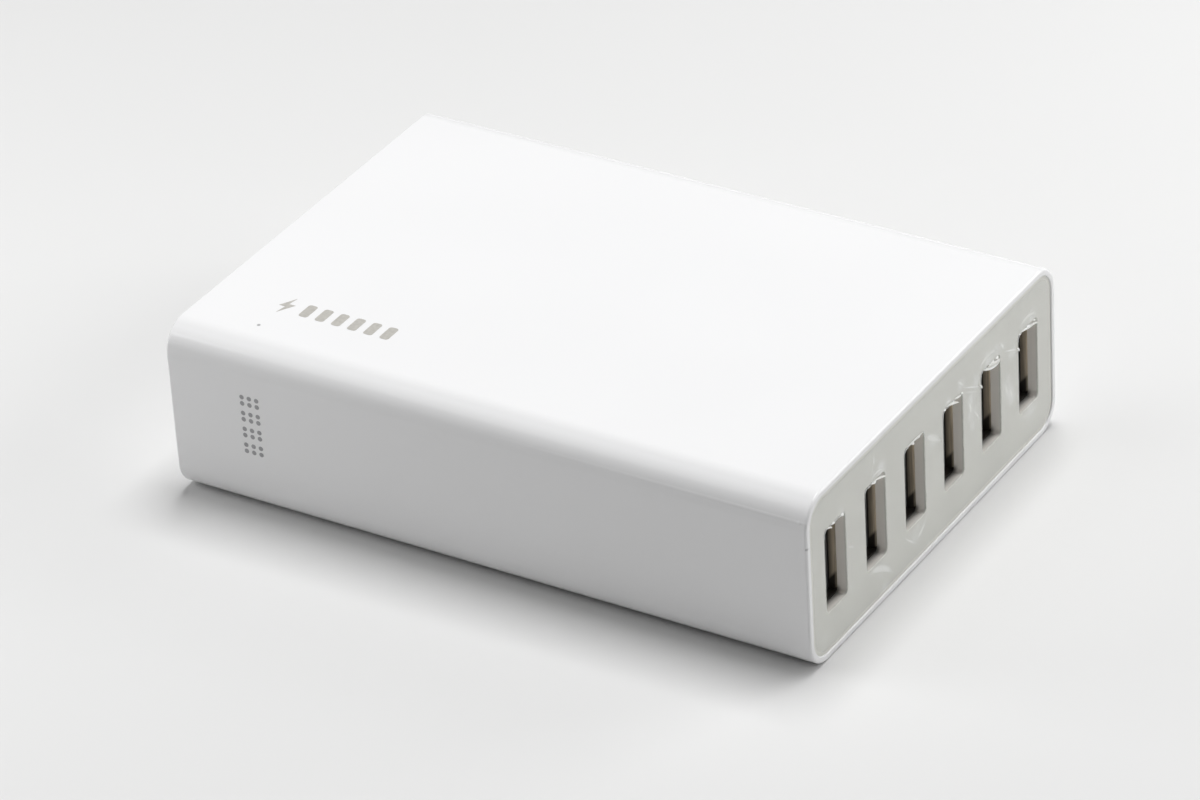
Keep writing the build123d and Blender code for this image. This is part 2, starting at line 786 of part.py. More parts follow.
# Small parts on the far side of the transformer, spread along its length
control_sizes = (controller_size[1], optocoupler_size[1], 2 * y_capacitor_radius)
control_rear = row_transformer - core_length / 2
control_front = row_transformer + core_length / 2
controller_x, optocoupler_x, y_capacitor_x = spread(control_rear, control_front, control_sizes)
control_y = transformer_row[2]
controller_seat = Plane(origin=(controller_x, control_y, board_top), x_dir=(0, 1, 0), z_dir=(0, 0, 1))
optocoupler_seat = Plane(origin=(optocoupler_x, control_y, board_top), x_dir=(0, 1, 0), z_dir=(0, 0, 1))
save(chip_part(controller_seat, controller_size, 3), "controller_chip")
save(chip_part(optocoupler_seat, optocoupler_size, 2), "optocoupler")
save(disc_part((y_capacitor_x, control_y), y_capacitor_radius, y_capacitor_thickness), "y_capacitor")

# Charge chips on the back of the port board, between the ports
for number in range(3):
    with BuildPart() as charge_chip:
        with BuildSketch(Plane.YZ.offset(port_board_back)):
            with Locations((2 * (number - 1) * port_pitch, (board_top + port_board_top) / 2)):
                Rectangle(charge_chip_size[0], charge_chip_size[1])
        extrude(amount=-charge_chip_size[2])
        chamfer(charge_chip.faces().sort_by(Axis.X)[0].edges(), charge_chip_chamfer)
    save(charge_chip.part, f"charge_chip_{number + 1}")
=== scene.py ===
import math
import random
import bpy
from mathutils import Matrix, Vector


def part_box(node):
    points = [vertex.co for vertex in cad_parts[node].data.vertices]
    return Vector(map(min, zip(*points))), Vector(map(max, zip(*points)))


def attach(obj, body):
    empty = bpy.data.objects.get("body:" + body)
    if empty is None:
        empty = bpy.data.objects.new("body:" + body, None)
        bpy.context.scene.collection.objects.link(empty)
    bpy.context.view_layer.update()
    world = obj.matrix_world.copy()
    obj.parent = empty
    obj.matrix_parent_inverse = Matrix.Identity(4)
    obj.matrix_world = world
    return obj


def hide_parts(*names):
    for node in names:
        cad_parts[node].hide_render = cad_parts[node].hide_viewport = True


bl_info = {
    "name": "USB desktop charger",
    "version": (1, 0, 0),
    "blender": (4, 5, 0),
    "location": "View3D > Sidebar > Charger",
    "description": "Dresses the packed charger: sleeve, end panels, film, ports, marks, circuit and stage",
    "category": "Object",
}

import bmesh
import bpy
from bpy.props import FloatProperty, FloatVectorProperty, IntProperty, PointerProperty
from mathutils import Matrix, Vector

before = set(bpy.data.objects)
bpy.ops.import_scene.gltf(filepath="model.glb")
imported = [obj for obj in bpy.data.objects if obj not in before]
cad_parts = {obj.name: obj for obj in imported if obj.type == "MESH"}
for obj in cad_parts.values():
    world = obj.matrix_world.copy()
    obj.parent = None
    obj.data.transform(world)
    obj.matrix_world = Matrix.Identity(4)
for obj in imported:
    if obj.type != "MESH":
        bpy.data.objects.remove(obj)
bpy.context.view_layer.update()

MM = 0.001
X, Z = 0, 2
BODY = "root"
PORTS = range(1, 7)
CASING_LOW, CASING_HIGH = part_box("casing")
PANEL_LOW, PANEL_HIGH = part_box("port_panel")
REAR_LOW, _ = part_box("rear_panel")
FILM_LOW, FILM_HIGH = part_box("port_film")
MID_HEIGHT = (CASING_LOW.z + CASING_HIGH.z) / 2
SHELLS = [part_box(f"usb_shell_{port}") for port in PORTS]
PORT_CENTRES = [(low.y + high.y) / 2 for low, high in SHELLS]

# The film's attribute that says how torn it is
TORN = "torn"
# How near a point lies to a level that it counts as being on
CLOSE = 0.002 * MM
# How far a cutter reaches past what it cuts
OVERRUN = 1.0 * MM
# Edges sharper than this, in radians, are corners
CORNER_ANGLE = 1.0
SMOOTH_ANGLE = math.radians(35.0)


# Settings


def length(label, about, default):
    return FloatProperty(name=label, description=about, default=default, unit="LENGTH", precision=5)


def angle(label, about, degrees):
    return FloatProperty(name=label, description=about, default=math.radians(degrees), unit="ROTATION")


def watts(label, about, default):
    return FloatProperty(name=label, description=about, default=default, unit="POWER")


def strength(label, about, default):
    return FloatProperty(name=label, description=about, default=default, min=0.0)


def share(label, about, default):
    return FloatProperty(name=label, description=about, default=default, min=0.0, max=1.0, subtype="FACTOR")


def colour(label, about, default):
    return FloatVectorProperty(
        name=label, description=about, default=default, subtype="COLOR", size=3, min=0.0, max=1.0
    )


class SleeveSettings(bpy.types.PropertyGroup):
    edge_radius: length("Edge radius", "Rounding of the four long edges", 4.5 * MM)
    wall: length("Wall", "Wall of the sleeve", 2.0 * MM)
    rim_wall: length("Rim", "Lip left round each end panel", 1.0 * MM)
    rim_round: length("Rim rounding", "Rounding of the outer edge of the rim", 0.38 * MM)
    rim_inner: length("Rim inner rounding", "Rounding of the inner edge of the rim", 0.17 * MM)
    seat_depth: length("Seat depth", "Depth of the seat of an end panel", 1.7 * MM)
    white: colour("White", "Colour of the white plastic", (0.885, 0.885, 0.89))
    roughness: share("Roughness", "Roughness of the white plastic", 0.16)


class PanelSettings(bpy.types.PropertyGroup):
    thickness: length("Thickness", "Thickness of an end panel", 1.5 * MM)
    corner: length("Corner", "Corner radius of an end panel", 3.4 * MM)
    edge: length("Edge", "Rounding of the outer edge", 0.08 * MM)
    snug: length("Snug", "How far the outline is let out into the seat", 0.09 * MM)
    slot_edge: length("Slot edge", "Rounding of the slot edges", 0.16 * MM)
    slot_width: length("Slot width", "Width of a port slot", 5.52 * MM)
    slot_height: length("Slot height", "Height of a port slot", 12.9 * MM)
    slot_corner: length("Slot corner", "Corner radius of a port slot", 0.7 * MM)
    slot_draft: angle("Slot draft", "Lean of the slot's long walls", 4.5)
    inlet_width: length("Inlet width", "Width of the inlet opening", 19.4 * MM)
    inlet_height: length("Inlet height", "Height of the inlet opening", 10.8 * MM)
    grey: colour("Grey", "Colour of the port panel", (0.715, 0.715, 0.665))
    # Painted light: the slot walls get a paler, warmer colour than the panel, standing in for light bounced
    # into the slots
    slot_painted_light: colour("Slot grey", "Colour of the slot walls", (0.96, 0.93, 0.88))
    cloud: colour("Cloud", "Colour where the film has lifted from the panel", (0.95, 0.96, 0.95))
    cloudiness: share("Cloudiness", "How much the lifted film hides", 0.75)
    roughness: share("Roughness", "Roughness of the port panel", 0.42)


class FilmSettings(bpy.types.PropertyGroup):
    thickness: length("Thickness", "Thickness of the film", 0.05 * MM)
    corner: length("Corner", "Corner radius of the film", 2.9 * MM)
    overhang: length("Overhang", "How far the film hangs over the top and the +Y side of a slot", 0.13 * MM)
    raggedness: length("Raggedness", "How far the cut wanders", 0.16 * MM)
    torn_width: length("Torn width", "Width of the whitened strip along a cut", 0.26 * MM)
    flake: length("Flake", "Usual size of a loose flake", 0.8 * MM)
    seed: IntProperty(name="Seed", description="Seed of the ragged cut", default=5)
    clear: share("Cover", "How much the clear film hides", 0.1)
    tint: colour("Tint", "Colour of the film where it shows", (0.86, 0.87, 0.86))
    torn: colour("Torn", "Colour of the film where it is torn or lifted", (0.94, 0.95, 0.94))


class MarkSettings(bpy.types.PropertyGroup):
    height: length("Ink height", "Thickness of the ink", 0.02 * MM)
    top_ink: colour("Top ink", "Ink on the top", (0.5, 0.485, 0.45))
    side_ink: colour("Side ink", "Ink on the side", (0.36, 0.36, 0.37))


class StageSettings(bpy.types.PropertyGroup):
    azimuth: angle("Azimuth", "Camera azimuth", 32.963)
    elevation: angle("Elevation", "Camera elevation", 31.952)
    roll: angle("Roll", "Camera roll", -3.590)
    distance: length("Distance", "From the camera to the target", 783.34 * MM)
    target: FloatVectorProperty(
        name="Target",
        description="Point in the middle of the picture",
        default=(1.811 * MM, -6.863 * MM, 13.506 * MM),
        subtype="XYZ",
        unit="LENGTH",
    )
    lens: FloatProperty(
        name="Lens", description="Focal length in millimetres", default=172.47, unit="CAMERA"
    )
    floor: colour("Floor", "Colour of the floor", (0.745, 0.745, 0.742))
    floor_size: length("Floor size", "Side of the square floor", 6.0)
    overhead_power: watts("Overhead", "Watts of the overhead lamp", 12.3)
    front_power: watts("Front", "Watts of the lamp above the front left", 1.7)
    right_power: watts("Right", "Watts of the lamp on the port side", 2.9)
    far_power: watts("Far", "Watts of the near lamp beyond the ports", 0.49)
    left_power: watts("Left", "Watts of the near, low lamp at the left", 0.16)
    sky: strength("Sky", "Strength of the surrounding light", 0.015)
    backdrop: strength("Backdrop", "Brightness of the surroundings as seen", 0.8)
    backdrop_tint: colour("Backdrop tint", "Colour of the surroundings", (0.985, 0.99, 1.0))
    gleam: strength("Gleam", "Brightness of the surroundings in reflections", 0.25)
    fade_start: length("Fade start", "Where the floor begins to fade into the surroundings", 0.2)
    fade_end: length("Fade end", "Where the floor has faded into the surroundings", 0.55)


class ChargerSettings(bpy.types.PropertyGroup):
    sleeve: PointerProperty(type=SleeveSettings)
    panel: PointerProperty(type=PanelSettings)
    film: PointerProperty(type=FilmSettings)
    mark: PointerProperty(type=MarkSettings)
    stage: PointerProperty(type=StageSettings)


# Shader maths


class Value:
    """A number in a shader; arithmetic on it adds Math nodes."""

    def __init__(self, graph, socket):
        self.graph = graph
        self.socket = socket

    def maths(self, operation, *others):
        return self.graph.node("ShaderNodeMath", {"operation": operation}, *others)

    def __add__(self, other):
        return self.maths("ADD", self, other)

    def __sub__(self, other):
        return self.maths("SUBTRACT", self, other)

    def __rsub__(self, other):
        return self.maths("SUBTRACT", other, self)

    def __mul__(self, other):
        return self.maths("MULTIPLY", self, other)

    def __abs__(self):
        return self.maths("ABSOLUTE", self)

    __radd__ = __add__
    __rmul__ = __mul__

    def most(self, other):
        return self.maths("MAXIMUM", self, other)

    def wave(self):
        return self.maths("SINE", self)


def socket_called(sockets, key):
    """The socket with this identifier, or else with this name, where underscores stand for spaces."""
    for socket in sockets:
        if socket.identifier == key:
            return socket
    return sockets[key.replace("_", " ")]


class Graph:
    """A node tree that is built up from Python expressions."""

    def __init__(self, tree):
        self.tree = tree

    def put(self, socket, value):
        """Links a value to a socket, or sets the socket to a plain number or colour."""
        if isinstance(value, Value):
            self.tree.links.new(value.socket, socket)
        elif socket.type == "RGBA":
            socket.default_value = (*value, 1.0)
        else:
            socket.default_value = value

    def node(self, kind, settings=None, *values, output=None, **named):
        """Adds a node: its settings, then its sockets in order, then sockets by name."""
        node = self.tree.nodes.new(kind)
        for key, setting in (settings or {}).items():
            setattr(node, key, setting)
        for socket, value in zip(node.inputs, values):
            self.put(socket, value)
        for key, value in named.items():
            self.put(socket_called(node.inputs, key), value)
        return Value(self, socket_called(node.outputs, output) if output else node.outputs[0])

    def ray(self, kind):
        """One for rays of this kind, and nothing for the others."""
        return self.node("ShaderNodeLightPath", output=f"Is {kind} Ray")


class Finish(Graph):
    """A node material, built up around its Principled shader."""

    def __init__(self, name):
        self.material = bpy.data.materials.new(name)
        self.material.use_nodes = True
        super().__init__(self.material.node_tree)
        self.shader = self.tree.nodes["Principled BSDF"]

    def set(self, **sockets):
        """Feeds the shader, and hands over the material."""
        for key, value in sockets.items():
            self.put(socket_called(self.shader.inputs, key), value)
        return self.material

    def place(self):
        return self.node("ShaderNodeTexCoord", output="Object")

    def axes(self):
        """X, Y and Z of a place on the object."""
        split = self.node("ShaderNodeSeparateXYZ", None, self.place()).socket.node
        return [Value(self, socket) for socket in split.outputs]

    def reach(self, vector):
        return self.node("ShaderNodeVectorMath", {"operation": "LENGTH"}, vector, output="Value")

    def noise(self, size, detail=2.0, stretch=(1.0, 1.0, 1.0)):
        """Noise with lumps of this size, packed closer along an axis by a larger stretch."""
        spot = self.node("ShaderNodeMapping", None, Vector=self.place(), Scale=stretch)
        return self.node("ShaderNodeTexNoise", None, Vector=spot, Scale=1.0 / size, Detail=detail)

    def ease(self, value, low, high, start=0.0, end=1.0):
        """Goes smoothly from start to end as the value goes from low to high."""
        return self.node(
            "ShaderNodeMapRange", {"interpolation_type": "SMOOTHSTEP"}, value, low, high, start, end
        )

    def vary(self, noise, start=0.0, end=1.0):
        """Spreads the middle range of a noise from start to end."""
        return self.ease(noise, 0.3, 0.7, start, end)

    def blend(self, factor, first, second):
        """Goes from the first colour to the second."""
        return self.node(
            "ShaderNodeMix",
            {"data_type": "RGBA"},
            output="Result_Color",
            Factor_Float=factor,
            A_Color=first,
            B_Color=second,
        )

    def bump(self, height, strength, distance):
        return self.node("ShaderNodeBump", None, Strength=strength, Distance=distance, Height=height)

    def spot(self, across, up, middle, size, soft=0.5):
        """One inside a round spot at this place, falling to nothing at its edge."""
        offset = self.node("ShaderNodeCombineXYZ", None, across - middle[0], up - middle[1], 0.0)
        return self.ease(self.reach(offset), size, size * soft)


def darker(tone, factor):
    return tuple(channel * factor for channel in tone)


# Traces on the sleeve: the place and the radius of each
SPECK = (-38.6 * MM, -28.3 * MM), 0.34 * MM
NICK = (49.88 * MM, 19.7 * MM), 0.24 * MM
BURR = (48.8 * MM, 23.4 * MM), 0.4 * MM
SEAM_HEIGHT = 23.45 * MM


def white_plastic(settings):
    """Satin white moulding: faint mottle, fine grain, a speck, a nick, and a parting line with a burr."""
    finish = Finish("white_plastic")
    white = settings.white
    x, y, z = finish.axes()
    mottle = finish.noise(22.0 * MM, detail=1.0)
    grain = finish.noise(0.22 * MM)
    on_top = finish.ease(z, 25.0 * MM, 26.0 * MM)
    on_side = finish.ease(y, -34.0 * MM, -34.5 * MM)
    on_rounding = finish.ease(y, -33.0 * MM, -33.6 * MM)
    speck = finish.spot(x, y, *SPECK) * on_top
    nick = finish.spot(x, z, *NICK) * on_side * 0.6
    tone = finish.blend(finish.vary(mottle), darker(white, 0.992), white)
    tone = finish.blend(speck.most(nick) * 0.7, tone, darker(white, 0.25))
    line = finish.ease(abs(z - SEAM_HEIGHT), 0.3 * MM, 0.04 * MM) * finish.ease(x, -10.0 * MM, 50.0 * MM)
    seam = (line + finish.spot(x, z, *BURR, soft=0.2) * 1.5) * on_rounding
    rough = settings.roughness
    return finish.set(
        Base_Color=tone,
        Roughness=finish.vary(mottle, rough - 0.012, rough + 0.012),
        IOR=1.5,
        Normal=finish.bump(grain * 0.02 + seam, 0.8, 0.05 * MM),
    )


# Cloudy patches under the film: Y and Z of the middle and the radius, in millimetres, and the strength
SMEARS = (
    ((10.7, 17.0), 1.7, 0.8), ((10.9, 14.8), 2.0, 0.9), ((11.1, 12.9), 1.6, 0.7), ((21.4, 12.3), 2.1, 0.9),
    ((20.8, 14.0), 1.6, 0.7), ((22.1, 10.8), 1.6, 0.7), ((15.6, 20.7), 1.9, 0.8), ((17.6, 20.7), 1.7, 0.7),
    ((19.7, 20.4), 1.2, 0.7), ((4.0, 20.3), 1.4, 0.6), ((7.8, 21.0), 1.4, 0.7), ((25.9, 20.4), 1.7, 0.7),
    ((28.2, 20.4), 1.9, 0.8), ((-14.6, 20.4), 1.9, 0.9), ((-16.6, 20.6), 1.3, 0.5), ((-14.4, 1.9), 1.3, 0.6),
    ((-0.3, 16.7), 1.6, 0.7), ((-5.5, 5.0), 2.3, 0.5), ((27.6, 5.7), 2.5, 0.5), ((-15.4, 4.6), 1.6, 0.6),
    ((22.6, 17.8), 1.5, 0.6), ((12.0, 19.0), 1.6, 0.6), ((-25.4, 20.2), 1.2, 0.4), ((-30.8, 3.4), 1.4, 0.3),
)


def film_smears(finish, across, up):
    """How cloudy the film is where it has lifted from the panel."""
    streak = finish.noise(1.2 * MM, stretch=(1.0, 1.0, 0.35))
    patches = [
        finish.spot(across, up, (y * MM, z * MM), radius * MM, 0.1) * strength
        for (y, z), radius, strength in SMEARS
    ]
    smear = patches[0]
    for patch in patches[1:]:
        smear = smear.most(patch)
    return smear * finish.ease(streak, 0.35, 0.65, 0.3, 1.0)


def grey_plastic(settings):
    """Matt grey moulding of the port panel, clouded under the film. In its slots it has a paler, warmer
    painted light, with painted shade on the slot floor and in the slot's back lower corner.
    """
    finish = Finish("grey_plastic")
    grey, wall = settings.grey, settings.slot_painted_light
    x, y, z = finish.axes()
    grain = finish.noise(0.3 * MM, detail=3.0)
    mottle = finish.noise(6.0 * MM, detail=3.0)
    depth = PANEL_HIGH.x - x
    above = z - (MID_HEIGHT - settings.slot_height / 2)
    in_slot = finish.ease(depth, 0.12 * MM, 0.3 * MM)
    on_ledge = finish.ease(above, 0.12 * MM, 0.02 * MM)
    # Painted shade: the back lower corner of each slot goes dark
    corner_painted_shade = finish.ease(above, 1.2 * MM, 0.1 * MM) * finish.ease(depth, 0.8 * MM, 1.5 * MM)
    # Painted shade: the slot floor darkens with depth into the slot
    ledge_painted_shade = finish.blend(finish.ease(depth, 0.2 * MM, 1.0 * MM), darker(wall, 0.92), darker(wall, 0.64))
    inside = finish.blend(on_ledge, wall, ledge_painted_shade)
    inside = finish.blend(corner_painted_shade, inside, darker(wall, 0.22))
    tone = finish.blend(finish.vary(mottle), darker(grey, 0.95), grey)
    tone = finish.blend(film_smears(finish, y, z) * settings.cloudiness, tone, settings.cloud)
    rough = settings.roughness
    return finish.set(
        # In the slots the colour is painted light and shade, not the panel's own grey
        Base_Color=finish.blend(in_slot, tone, inside),
        Roughness=finish.vary(grain, rough - 0.06, rough + 0.08),
        Normal=finish.bump(grain, 0.12, 0.03 * MM),
    )


def torn_share(finish):
    """How white and torn the film is, as its mesh says."""
    return finish.node("ShaderNodeAttribute", {"attribute_name": TORN}, output="Fac")


def clear_film(settings):
    """Thin clear film, a little rippled, white along its cut edges."""
    finish = Finish("clear_film")
    ripple = finish.noise(2.4 * MM)
    ragged = finish.noise(0.3 * MM)
    edge = torn_share(finish) * finish.ease(ragged, 0.3, 0.65, 0.5, 1.0)
    return finish.set(
        Base_Color=finish.blend(edge, settings.tint, settings.torn),
        Roughness=finish.vary(ripple, 0.14, 0.18),
        Alpha=finish.ease(edge, 0.0, 1.0, settings.clear, 0.95),
        IOR=1.45,
        Normal=finish.bump(ripple, 0.12, 0.2 * MM),
    )


def torn_film(settings, grey):
    """Creased or torn film, white in its middle and like the panel at its border."""
    finish = Finish("torn_film")
    cloud = finish.noise(0.9 * MM)
    torn = torn_share(finish) * finish.vary(cloud, 0.7, 1.0)
    return finish.set(
        Base_Color=finish.blend(torn, grey, settings.torn),
        Roughness=finish.ease(torn, 0.0, 1.0, 0.45, 0.25),
        Normal=finish.bump(cloud, 0.05, 0.03 * MM),
    )


def sheet_metal(name, tone, roughness, stretch):
    """Plated sheet, drawn along one way, with darker stains."""
    finish = Finish(name)
    drawn = finish.noise(0.35 * MM, detail=3.0, stretch=stretch)
    stain = finish.noise(2.4 * MM, detail=3.0)
    return finish.set(
        Base_Color=finish.blend(finish.ease(stain, 0.35, 0.7), darker(tone, 0.72), tone),
        Metallic=1.0,
        Roughness=finish.ease(drawn, 0.25, 0.75, roughness - 0.07, roughness + 0.1),
        Normal=finish.bump(drawn, 0.15, 0.02 * MM),
    )


def shell_plate(name, tone):
    """Dull plated sheet of the ports, streaked, with painted light and shade. It is lighter at the mouth and
    darker with depth, with painted shade along the lower narrow wall and a nearly black painted shadow
    deepest in.
    """
    finish = Finish(name)
    x, _, z = finish.axes()
    drawn = finish.noise(0.4 * MM, detail=3.0, stretch=(3.0, 1.0, 0.2))
    streak = finish.noise(0.3 * MM, stretch=(1.0, 0.3, 0.04))
    depth = PANEL_HIGH.x - x
    # Painted light and shade: lighter at the slot's mouth, darker deeper in
    plate = finish.blend(finish.ease(depth, 1.5 * MM, 2.6 * MM), darker(tone, 1.4), darker(tone, 0.6))
    plate = finish.blend(finish.ease(streak, 0.4, 0.65) * 0.5, plate, darker(tone, 0.45))
    # Painted shade low in the port: along the lower narrow wall, and up the side wall past the lip
    past_lip = finish.ease(depth, 1.6 * MM, 1.9 * MM, 0.55, 1.0)
    on_foot = finish.ease(z, 7.6 * MM, 7.2 * MM)
    slope = 1.145
    low = finish.ease(z + depth * slope, 12.0 * MM, 11.2 * MM) * past_lip.most(on_foot)
    # Painted shadow: nearly black past 2.5 mm deep, where the tongue shades the wall
    painted_shadow = low.most(finish.ease(depth, 2.5 * MM, 2.72 * MM))
    return finish.set(
        Base_Color=finish.blend(painted_shadow, plate, darker(tone, 0.05)),
        Metallic=finish.ease(painted_shadow, 0.0, 1.0, 0.45, 0.0),
        Roughness=finish.ease(drawn, 0.25, 0.75, 0.42, 0.6),
        Normal=finish.bump(drawn, 0.15, 0.02 * MM),
    )


def moulded(name, tone, roughness, grain_size=0.3 * MM, spread=0.8):
    """Moulded or dipped plastic with a fine grain."""
    finish = Finish(name)
    grain = finish.noise(grain_size, detail=3.0)
    mottle = finish.noise(5.0 * MM)
    return finish.set(
        Base_Color=finish.blend(mottle, darker(tone, spread), tone),
        Roughness=finish.vary(grain, roughness - 0.08, roughness + 0.08),
        Normal=finish.bump(grain, 0.12, 0.03 * MM),
    )


def circuit_board(name, tone):
    """Solder mask over a net of copper tracks."""
    finish = Finish(name)
    edges = {"feature": "DISTANCE_TO_EDGE"}
    net = finish.node("ShaderNodeTexVoronoi", edges, Vector=finish.place(), Scale=420.0)
    mask = finish.ease(net, 0.05, 0.09)
    weave = finish.noise(0.6 * MM)
    return finish.set(
        Base_Color=finish.blend(mask, darker(tone, 1.9), tone),
        Roughness=finish.vary(weave, 0.3, 0.45),
        Normal=finish.bump(weave * 0.3 - mask, 0.2, 0.03 * MM),
    )


def wound_wire(name, tone, turn):
    """Enamelled wire or tape, wound round and round."""
    finish = Finish(name)
    _, _, z = finish.axes()
    ridge = abs((z * (math.pi / turn)).wave())
    stain = finish.noise(2.0 * MM)
    return finish.set(
        Base_Color=finish.blend(stain, darker(tone, 0.75), tone),
        Roughness=finish.ease(ridge, 0.0, 1.0, 0.45, 0.3),
        Normal=finish.bump(ridge, 0.6, turn * 0.4),
    )


def print_ink(name, tone):
    """Thin grey print, slightly uneven."""
    finish = Finish(name)
    cloud = finish.noise(0.5 * MM, detail=3.0)
    return finish.set(
        Base_Color=finish.blend(finish.vary(cloud), darker(tone, 0.93), darker(tone, 1.05)),
        Roughness=finish.vary(cloud, 0.32, 0.45),
    )


def paper_floor(settings):
    """Pale paper of the stage, all but even, that fades into the surroundings far from the object."""
    finish = Finish("paper_floor")
    tone = settings.floor
    cloud = finish.noise(90.0 * MM, detail=3.0)
    paper = finish.set(
        Base_Color=finish.blend(finish.vary(cloud), darker(tone, 0.992), tone),
        Roughness=0.75,
    )
    mirrored = finish.ray("Glossy") * (settings.gleam / settings.backdrop)
    seen = finish.ray("Camera").most(mirrored).most(finish.ray("Transmission"))
    far = finish.ease(finish.reach(finish.place()), settings.fade_start, settings.fade_end)
    near_look = Value(finish, finish.shader.outputs["BSDF"])
    far_look = finish.node("ShaderNodeEmission", None, settings.backdrop_tint, settings.backdrop)
    look = finish.node("ShaderNodeMixShader", None, far * seen, near_look, far_look)
    finish.put(finish.tree.nodes["Material Output"].inputs["Surface"], look)
    paper.cycles.emission_sampling = "NONE"
    return paper


# Modelling


def clear_selection():
    if bpy.context.mode != "OBJECT":
        bpy.ops.object.mode_set(mode="OBJECT")
    bpy.ops.object.select_all(action="DESELECT")


def make_active(piece):
    clear_selection()
    piece.select_set(True)
    bpy.context.view_layer.objects.active = piece


def edit(piece):
    make_active(piece)
    bpy.ops.object.mode_set(mode="EDIT")


def end_edit():
    bpy.ops.object.mode_set(mode="OBJECT")


def rename(piece, name):
    piece.name = name
    piece.data.name = name


def add_box(name, low, high):
    """A box between two corners, its place in its mesh."""
    clear_selection()
    low, high = Vector(low), Vector(high)
    bpy.ops.mesh.primitive_cube_add(size=1.0, location=(low + high) / 2, scale=high - low)
    piece = bpy.context.object
    rename(piece, name)
    bpy.ops.object.transform_apply(location=True, rotation=True, scale=True)
    return piece


def pick(piece, kind, test):
    """In edit mode, selects the faces or edges that pass the test."""
    bpy.ops.mesh.select_mode(type="FACE" if kind == "faces" else "EDGE")
    bpy.ops.mesh.select_all(action="DESELECT")
    mesh = bmesh.from_edit_mesh(piece.data)
    picked = [part for part in getattr(mesh, kind) if test(part)]
    if not picked:
        raise RuntimeError(f"nothing picked on {piece.name}")
    for part in picked:
        part.select_set(True)
    mesh.select_flush_mode()
    bmesh.update_edit_mesh(piece.data)


def runs_along(axis):
    """A test for edges that run along an axis."""

    def test(edge):
        way = edge.verts[1].co - edge.verts[0].co
        return abs(way[axis]) > 0.999 * way.length

    return test


def at_level(edge, level):
    """Whether an edge lies at this X."""
    return all(abs(vert.co.x - level) < CLOSE for vert in edge.verts)


def round_edges(piece, test, radius, segments):
    """Rounds the edges that pass the test."""
    edit(piece)
    pick(piece, "edges", test)
    bpy.ops.mesh.bevel(offset=radius, segments=segments, profile=0.5, clamp_overlap=False)
    end_edit()


def rounded_box(name, low, high, axis, radius, segments):
    """A box whose edges along one axis are rounded."""
    piece = add_box(name, low, high)
    round_edges(piece, runs_along(axis), radius, segments)
    return piece


def face_outwards(piece):
    edit(piece)
    bpy.ops.mesh.select_all(action="SELECT")
    bpy.ops.mesh.normals_make_consistent(inside=False)
    end_edit()


def apply_modifier(piece, kind, **settings):
    make_active(piece)
    modifier = piece.modifiers.new(kind.title(), kind)
    for key, value in settings.items():
        setattr(modifier, key, value)
    bpy.ops.object.modifier_apply(modifier=modifier.name)


def combine(piece, other, operation):
    """Cuts another shape out of the piece, or welds it on, and removes that shape."""
    apply_modifier(piece, "BOOLEAN", operation=operation, solver="EXACT", object=other)
    bpy.data.objects.remove(other)


def copy_of(piece, shift):
    """A copy of the piece with its own mesh, moved by shift."""
    make_active(piece)
    bpy.ops.object.duplicate_move(TRANSFORM_OT_translate={"value": shift})
    bpy.ops.object.transform_apply(location=True, rotation=True, scale=True)
    return bpy.context.object


def solid_outline(name, points, depth):
    """A closed solid: an outline of points, drawn out by depth."""
    clear_selection()
    bpy.ops.mesh.primitive_circle_add(vertices=len(points), fill_type="NGON", radius=MM)
    piece = bpy.context.object
    rename(piece, name)
    for vert, point in zip(piece.data.vertices, points):
        vert.co = point
    edit(piece)
    bpy.ops.mesh.select_all(action="SELECT")
    bpy.ops.mesh.extrude_region_move(TRANSFORM_OT_translate={"value": depth})
    end_edit()
    face_outwards(piece)
    return piece


def torn_sheet(columns, rows, shape, **wall):
    """A grid whose places and whiteness come from shape(x, y), made solid by a wall."""
    clear_selection()
    bpy.ops.mesh.primitive_grid_add(x_subdivisions=columns, y_subdivisions=rows, size=1.0)
    sheet = bpy.context.object
    layer = sheet.data.attributes.new(TORN, "FLOAT", "POINT")
    for vert in sheet.data.vertices:
        vert.co, layer.data[vert.index].value = shape(vert.co.x, vert.co.y)
    apply_modifier(sheet, "SOLIDIFY", **wall)
    return sheet


def join(pieces, name):
    """Makes several pieces one."""
    clear_selection()
    for piece in pieces:
        piece.select_set(True)
    bpy.context.view_layer.objects.active = pieces[0]
    bpy.ops.object.join()
    rename(pieces[0], name)
    return pieces[0]


def smooth(piece):
    """Smooth shading across roundings, with flat faces kept flat."""
    make_active(piece)
    bpy.ops.object.shade_smooth_by_angle(angle=SMOOTH_ANGLE)
    apply_modifier(piece, "WEIGHTED_NORMAL", keep_sharp=True, weight=100)


def give(piece, material):
    """Gives a piece its one material."""
    piece.data.materials.clear()
    piece.data.materials.append(material)


def dress(piece, material):
    """Gives a new piece its material and its body."""
    give(piece, material)
    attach(piece, BODY)


def paint(material, *nodes):
    """Gives CAD nodes a material."""
    for name in nodes:
        give(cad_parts[name], material)


def numbered(name, numbers):
    return [f"{name}_{number}" for number in numbers]


class ChargerOperator:
    """What the operators share."""

    bl_options = {"REGISTER", "UNDO"}

    @property
    def settings(self):
        return bpy.context.scene.charger


